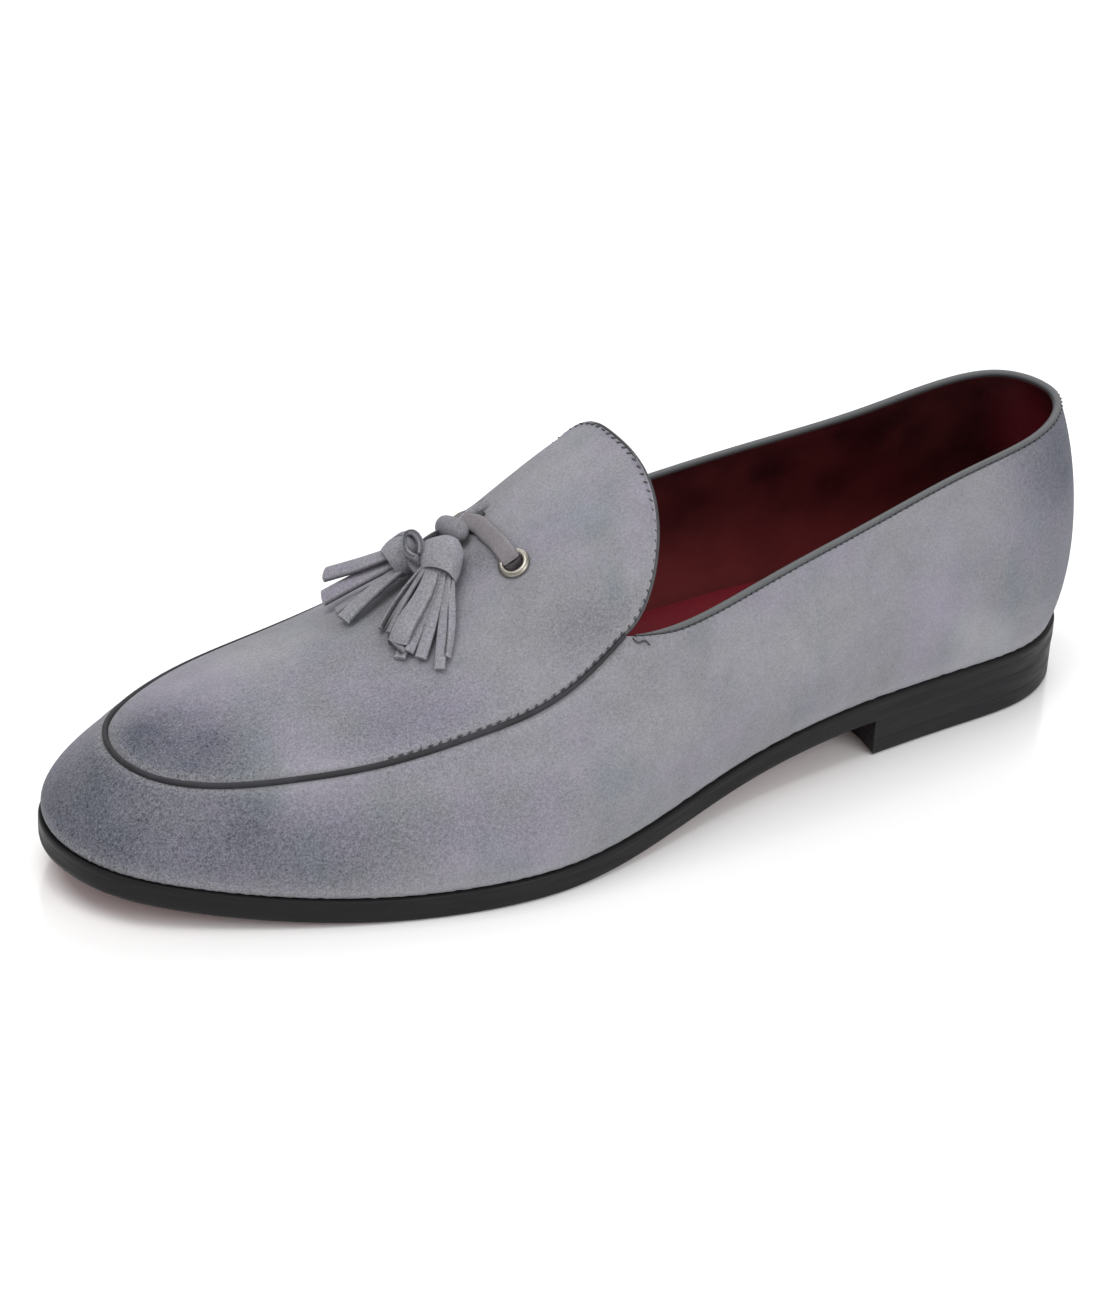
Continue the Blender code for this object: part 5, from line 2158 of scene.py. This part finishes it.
@dataclass
class Tassel:
    """Tassel: a wrapped head with cut strips."""

    node: str
    x: float
    y: float
    turn: float
    strips: tuple[Strip, ...]
    head_length: float = 0.0103
    head_radius: float = 0.0052
    flatness: float = 0.86
    skew: float = 0.24
    lap_start: float = 2.2
    lap_slant: float = 0.9
    lap: float = 0.08
    corners: int = 48

    def head(self, shape: Mesher) -> None:
        """Adds the wrapped band.

        Args:
            shape: the mesh that it joins.
        """
        angle = math.radians(self.turn)
        lift = LAST.clearance * 2 + self.head_radius * self.flatness
        first, normal_0 = above_apron(self.x * MM, self.y * MM, lift)
        last, normal_1 = above_apron(self.x * MM + self.head_length * math.cos(angle),
                                     self.y * MM + self.head_length * math.sin(angle), lift)
        forward = unit(last - first)
        normal = unit(normal_0 + normal_1)
        sideways = unit(np.cross(normal, forward))
        normal = np.cross(forward, sideways)
        profile = [
            (-0.03, 0.20), (-0.02, 0.45), (0.0, 0.64), (0.04, 0.79), (0.10, 0.90), (0.20, 0.97), (0.33, 1.0),
            (0.47, 0.99), (0.61, 0.955), (0.74, 0.91), (0.85, 0.865), (0.93, 0.83), (0.98, 0.80), (1.0, 0.77),
            (0.998, 0.735), (0.985, 0.70), (0.96, 0.68),
        ]
        rings = []
        shade = []
        for place, size in profile:
            start = self.lap_start + self.lap_slant * place
            ring = []
            for k in range(self.corners):
                share = k / (self.corners - 1) * 0.995
                turn = start + share * 2 * math.pi
                grow = size * (1 - self.lap / 2 + self.lap * smooth_step(np.array(share)))
                soft = 1 + 0.02 * math.sin(3 * turn + 5 * place) + 0.012 * math.sin(7 * turn - 9 * place)
                a = math.copysign(abs(math.cos(turn)) ** 0.82, math.cos(turn))
                b = math.copysign(abs(math.sin(turn)) ** 0.82, math.sin(turn))
                onward = place + self.skew * a * size * max(place, 0.0) ** 1.5
                under = 0.7 * float(smooth_step(np.array(-0.1 - b)))
                inside = 0.7 * (size < 0.72 and place > 0.9)
                shade.append(max(under, 0.8 * (k < 2), inside, 0.25 * (place < 0.02)))
                ring.append(first + forward * onward * self.head_length
                            + sideways * self.head_radius * grow * soft * a
                            + normal * self.head_radius * self.flatness * grow * soft * b)
            rings.append(ring)
        points, faces = swept(np.array(rings))
        rim = [0.5 if 0.95 < place and size > 0.72 else 0.0 for place, size in profile]
        edge = np.repeat(rim, self.corners)
        shape.add(points, faces, edge=edge, shade=np.array(shade))

    def strip(self, shape: Mesher, spec: Strip) -> None:
        """Adds one strip, which leaves the head and falls onto the apron.

        Args:
            shape: the mesh that it joins.
            spec: the strip.
        """
        line = smooth_path(np.array(spec.way) * MM, 30)
        share = np.linspace(0, 1, len(line))
        placed = [above_apron(float(x), float(y), float(lift)) for x, y, lift in line]
        path = np.array([point for point, _ in placed])
        normals = np.array([normal for _, normal in placed])
        width = spec.width * MM * (spec.narrow + (1.0 - spec.narrow) * smooth_step(share * 1.5))
        thickness = np.full(len(line), spec.thickness * MM)
        curl = spec.curl * (0.4 + 0.6 * share)
        twist = np.radians(spec.twist) * (0.4 + 0.6 * share)
        rings = flat_rings(path, normals, width, thickness, curl, twist)
        points, faces = swept(rings)
        across = np.tile(across_section(), len(line))
        under = np.tile(under_section(), len(line))
        end = np.repeat(smooth_step((share - 0.97) / 0.03), 2 * STRIP_CORNERS)
        edge = np.maximum(0.6 * hump(across - 0.75, 0.12), 0.9 * end) * (1 - under)
        shade = np.maximum(0.8 * under, 0.85 * smooth_step((across - 0.8) / 0.2)) * (1 - 0.7 * end)
        shape.add(points, faces, edge=edge, shade=shade)

    def extras(self, shape: Mesher) -> None:
        """Adds what only one tassel has."""

    def piece(self) -> Piece:
        """The tassel as one mesh.

        Returns:
            The piece.
        """
        shape = Mesher()
        self.head(shape)
        for spec in self.strips:
            self.strip(shape, spec)
        self.extras(shape)
        made = shape.piece(f"{self.node}_dressed", [TASSEL_SUEDE], sharp=50)
        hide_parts(self.node)
        return made


@dataclass
class LoopedTassel(Tassel):
    """Tassel with a small upright loop and a flap beside its head."""

    def extras(self, shape: Mesher) -> None:
        """Adds the loop and the flap.

        Args:
            shape: the mesh that it joins.
        """
        loop = [(191.2, -3.4, 8.0), (191.8, -6.0, 8.4), (190.6, -9.1, 9.3), (188.7, -10.4, 10.0),
                (187.7, -9.1, 10.2), (187.7, -6.9, 9.8), (188.8, -4.7, 9.0), (190.2, -3.6, 8.3)]
        ribbon(shape, loop, 0.0032, unit(np.array([0.35, 0.75, 0.55])), 0.0014)
        flap = [(189.6, -12.6, 5.8), (190.6, -9.6, 6.2), (191.3, -6.8, 5.2), (191.8, -3.6, 4.2)]
        ribbon(shape, flap, 0.0044, unit(np.array([0.88, -0.30, -0.39])))


DARK_SPOTS = (
    Spot(298, 8, 20, 64, 62, 36, 0.80),
    Spot(272, 2, 40, 26, 26, 17, 0.68),
    Spot(262, 22, 38, 22, 18, 12, 0.50),
    Spot(246, 40, 20, 50, 22, 20, 0.50),
    Spot(260, 28, 25, 22, 18, 16, 0.38),
    Spot(256, 10, 42, 22, 20, 12, 0.30),
    Spot(224, 10, 46, 40, 30, 18, 0.20),
    Spot(31, 25, 45, 24, 18, 22, 0.20),
    Spot(256, 30, 28, 10, 10, 8, 0.30),
    Spot(211, 30, 41, 36, 18, 16, 0.30),
    Spot(200, 46, 24, 40, 14, 14, 0.20),
    Spot(14, 14, 70, 36, 30, 28, 0.78),
    Spot(271, -3, 40, 8, 12, 6, 0.60),
    Spot(257, 12, 41, 9, 8, 5, 0.45),
    Spot(8, 16, 42, 34, 26, 34, 0.34),
    Spot(168, 34, 62, 20, 12, 18, 0.20),
    Spot(182, 2, 66, 12, 8, 8, 0.25),
)
PALE_SPOTS = (
    Spot(231, -16, 45, 20, 20, 12, 0.35),
    Spot(106, 34, 42, 36, 18, 16, 0.28),
    Spot(152, 44, 36, 24, 14, 14, 0.25),
    Spot(160, -4, 84, 30, 18, 16, 0.30),
    Spot(42, 30, 24, 18, 14, 12, 0.55),
    Spot(48, 27, 31, 9, 8, 8, 0.35),
    Spot(264, 2, 41, 7, 6, 4, 0.32),
    Spot(128, 38, 50, 14, 12, 12, 0.20),
)
SHOE_SUEDE = Suede(dark_spots=DARK_SPOTS, pale_spots=PALE_SPOTS)
TASSEL_SUEDE = Suede("tassel_suede", contrast=1.3)
LACE_SUEDE = Suede("lace_suede", (0.205, 0.190, 0.200), (0.200, 0.180, 0.200), (0.180, 0.180, 0.190),
                   contrast=0.8)

OUTER_STRIPS = (
    Strip(((190.8, -2.2, 6.0), (199.6, -1.6, 3.8), (208.0, 1.6, 1.4)), 2.2, 0.4, 64.0, narrow=0.8),
    Strip(((190.8, -1.0, 6.6), (199.0, 0.7, 4.0), (207.0, 4.2, 1.4)), 2.5, 0.5, 38.0, narrow=0.8),
    Strip(((190.2, 0.6, 6.6), (195.2, 4.3, 6.4), (199.1, 5.6, 5.4), (206.2, 9.0, 3.8), (207.3, 9.6, 2.4),
           (206.3, 9.2, 1.3)), 6.0, 1.3, narrow=0.72),
    Strip(((189.7, 2.0, 6.4), (194.0, 5.1, 5.2), (198.0, 7.6, 3.6), (205.8, 12.6, 1.6)), 2.7, 0.5, -28.0,
          narrow=0.8),
    Strip(((189.2, 3.0, 5.8), (193.0, 6.3, 4.6), (196.8, 9.3, 3.2), (204.2, 15.5, 1.3)), 3.1, 0.6, -14.0,
          narrow=0.7),
    Strip(((188.7, 3.8, 5.0), (192.3, 8.3, 3.9), (196.0, 12.8, 2.7), (201.7, 20.4, 1.1)), 3.0, 0.5, 6.0,
          narrow=0.7),
    Strip(((188.3, 4.2, 4.3), (191.4, 9.1, 3.6), (194.0, 13.2, 2.8), (198.8, 19.2, 1.3)), 2.3, 0.3, -66.0,
          narrow=0.8),
    Strip(((191.7, -1.5, 2.6), (199.0, 4.2, 1.6), (208.4, 12.2, 0.9)), 3.2, 0.4, 12.0),
)
INNER_STRIPS = (
    Strip(((193.6, -12.4, 7.6), (200.6, -17.4, 8.0), (206.2, -23.0, 8.2)), 4.8, 0.9, -24.0, 1.8, 0.9),
    Strip(((193.8, -12.0, 5.4), (202.6, -16.8, 5.0), (210.2, -21.2, 3.8)), 5.4, 0.7, -26.0, 1.8, 0.9),
    Strip(((194.2, -9.8, 4.0), (204.4, -9.4, 3.6), (212.6, -8.8, 1.9)), 4.6, 0.9, -10.0, 1.7, 0.9),
    Strip(((194.4, -11.8, 2.6), (203.2, -14.4, 2.0), (210.4, -16.2, 0.9)), 3.6, 0.4, 0.0, 1.25, 0.9),
)


@dataclass
class Studio:
    """Camera, lights and floor."""

    target: Vector = Vector((0.1077, 0.0, 0.03))
    back: Vector = Vector((0.46777, 0.73478, 0.49121))
    distance: float = 1.012
    roll: float = 3.69
    lens: float = 110.69
    shift: tuple[float, float] = (-0.0300, 0.0065)
    sky: float = 0.58
    floor_half: float = 4.0
    floor_drop: float = 0.0002

    def camera(self) -> None:
        """Camera at the photo's place, with its roll."""
        right = Vector((0, 0, 1)).cross(self.back).normalized()
        up = self.back.cross(right).normalized()
        c, s = math.cos(math.radians(self.roll)), math.sin(math.radians(self.roll))
        axes = Matrix((c * right + s * up, -s * right + c * up, self.back.normalized())).transposed()
        data = bpy.data.cameras.new("camera")
        data.lens = self.lens
        data.sensor_width = 36.0
        data.sensor_fit = "AUTO"
        data.shift_x, data.shift_y = self.shift
        data.clip_end = 20.0
        made = linked("camera", data)
        made.matrix_world = Matrix.Translation(self.target + self.distance * self.back) @ axes.to_4x4()
        bpy.context.scene.camera = made

    def light(self, name: str, place: Point, size: float, power: float, colour: Colour,
              aim: Point = (0.0, 0.0, 0.0)) -> None:
        """One soft area light.

        Args:
            name: its name.
            place: where it stands from the target, in metres.
            size: its side in metres.
            power: its power in watts.
            colour: its colour.
            aim: what it looks at, from the target.
        """
        data = bpy.data.lights.new(name, "AREA")
        data.shape = "SQUARE"
        data.size = size
        data.energy = power
        data.color = colour
        made = linked(name, data)
        offset = Vector(place)
        made.location = self.target + offset
        made.rotation_euler = (offset - Vector(aim)).to_track_quat("Z", "Y").to_euler()

    def floor(self) -> None:
        """Plain pale floor."""
        mesh = bpy.data.meshes.new("floor")
        half = self.floor_half
        corners = [(-half, -half, 0), (half, -half, 0), (half, half, 0), (-half, half, 0)]
        mesh.from_pydata(corners, [], [(0, 1, 2, 3)])
        mesh.materials.append(StudioFloor().material())
        made = linked("floor", mesh)
        made.location = (0.0, 0.0, -self.floor_drop)

    def build(self) -> None:
        """Sets up the whole studio."""
        self.camera()
        self.floor()
        self.light("key", (0.55, 0.0, 1.55), 1.0, 13.0, (1.0, 0.995, 0.98))
        self.light("fill", (-0.4, 1.6, 0.9), 1.3, 15.0, (0.99, 0.995, 1.0))
        self.light("back", (-0.9, -1.3, 1.2), 1.5, 12.0, (1.0, 1.0, 1.0), (-0.5, -0.9, 0.0))
        world = bpy.data.worlds.new("studio")
        world.use_nodes = True
        background = world.node_tree.nodes["Background"]
        background.inputs["Color"].default_value = (1.0, 1.0, 1.0, 1.0)
        background.inputs["Strength"].default_value = self.sky
        scene = bpy.context.scene
        scene.world = world
        scene.view_settings.view_transform = "Standard"


@dataclass
class Sewing:
    """The rows of stitches along the apron seam and the collar."""

    shell: Shell
    apron: Apron
    trim: Trim
    seam_end: float = 0.76
    inset: float = 0.0008
    lift: float = 0.00018
    band_out: float = 0.94
    band_down: float = 0.12

    def seam(self, side: Side) -> Piece:
        """Row on the apron beside its seam, from the tongue's top to the vamp.

        Args:
            side: the side of the shoe.

        Returns:
            The row.
        """
        ribs, outer, normals = self.apron.grid()
        run = np.flatnonzero((ribs.side == side.value) & (ribs.along < self.seam_end))
        run = run[apart(outer[run, 0])]
        rim, up = outer[run, 0], normals[run, 0]
        inward = unit(np.cross(up, unit(np.gradient(rim, axis=0))))
        if (inward * (outer[run, 5] - rim)).sum() < 0:
            inward = -inward
        line = rim + inward * self.inset + up * self.lift
        row = Stitches(f"{side.name.lower()}_stitches", line, 0.0025, 0.0016, 0.00023, 0.5, slant=0.55)
        return row.piece(Thread())

    def collar(self) -> Piece:
        """Row in the sunk band of the binding.

        Returns:
            The row.
        """
        _, height, middle, uphill, outward = self.trim.binding_frame()
        width = self.shell.wall + 2 * self.trim.binding_proud
        line = middle + outward * (self.band_out * width / 2) - uphill * (height * self.band_down)[:, None]
        return Stitches("collar_stitches", line, 0.0019, 0.0012, 0.00028, 0.3, slant=0.5).piece(Thread())


def main() -> None:
    """Builds the shoe's looks and the studio."""
    logging.basicConfig(level=logging.INFO, format="%(message)s")
    bottom = Bottom()
    made = [bottom.outsole(), *bottom.heel(), bottom.inner_sock()]
    shell = Shell()
    made += [shell.outside(), shell.inside()]
    apron = Apron()
    made += [apron.outside(), apron.inside(), apron.edging()]
    trim = Trim(shell)
    made += [trim.piping(), trim.binding(), trim.tack()]
    sewing = Sewing(shell, apron, trim)
    made += [sewing.seam(Side.OUTER), sewing.seam(Side.INNER), sewing.collar()]
    made += [Eyelet(apron, Side.OUTER).piece("eyelet_outer"), Eyelet(apron, Side.INNER).piece("eyelet_inner")]
    tied = [
        Knot().piece(),
        LoopedTassel("tassel_outer", 184.6, -4.8, 52.0, OUTER_STRIPS).piece(),
        Tassel("tassel_inner", 187.6, -10.8, -9.0, INNER_STRIPS, 0.0084, 0.0050, 1.0, 0.0, 1.2).piece(),
    ]
    made += tied
    made.append(Lace(apron).piece(tied))
    for piece in made:
        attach(piece, "root")
        log.info("%s: %d triangles", piece.name, sum(len(face.vertices) - 2 for face in piece.data.polygons))
    Studio().build()


if __name__ == "__main__":
    main()
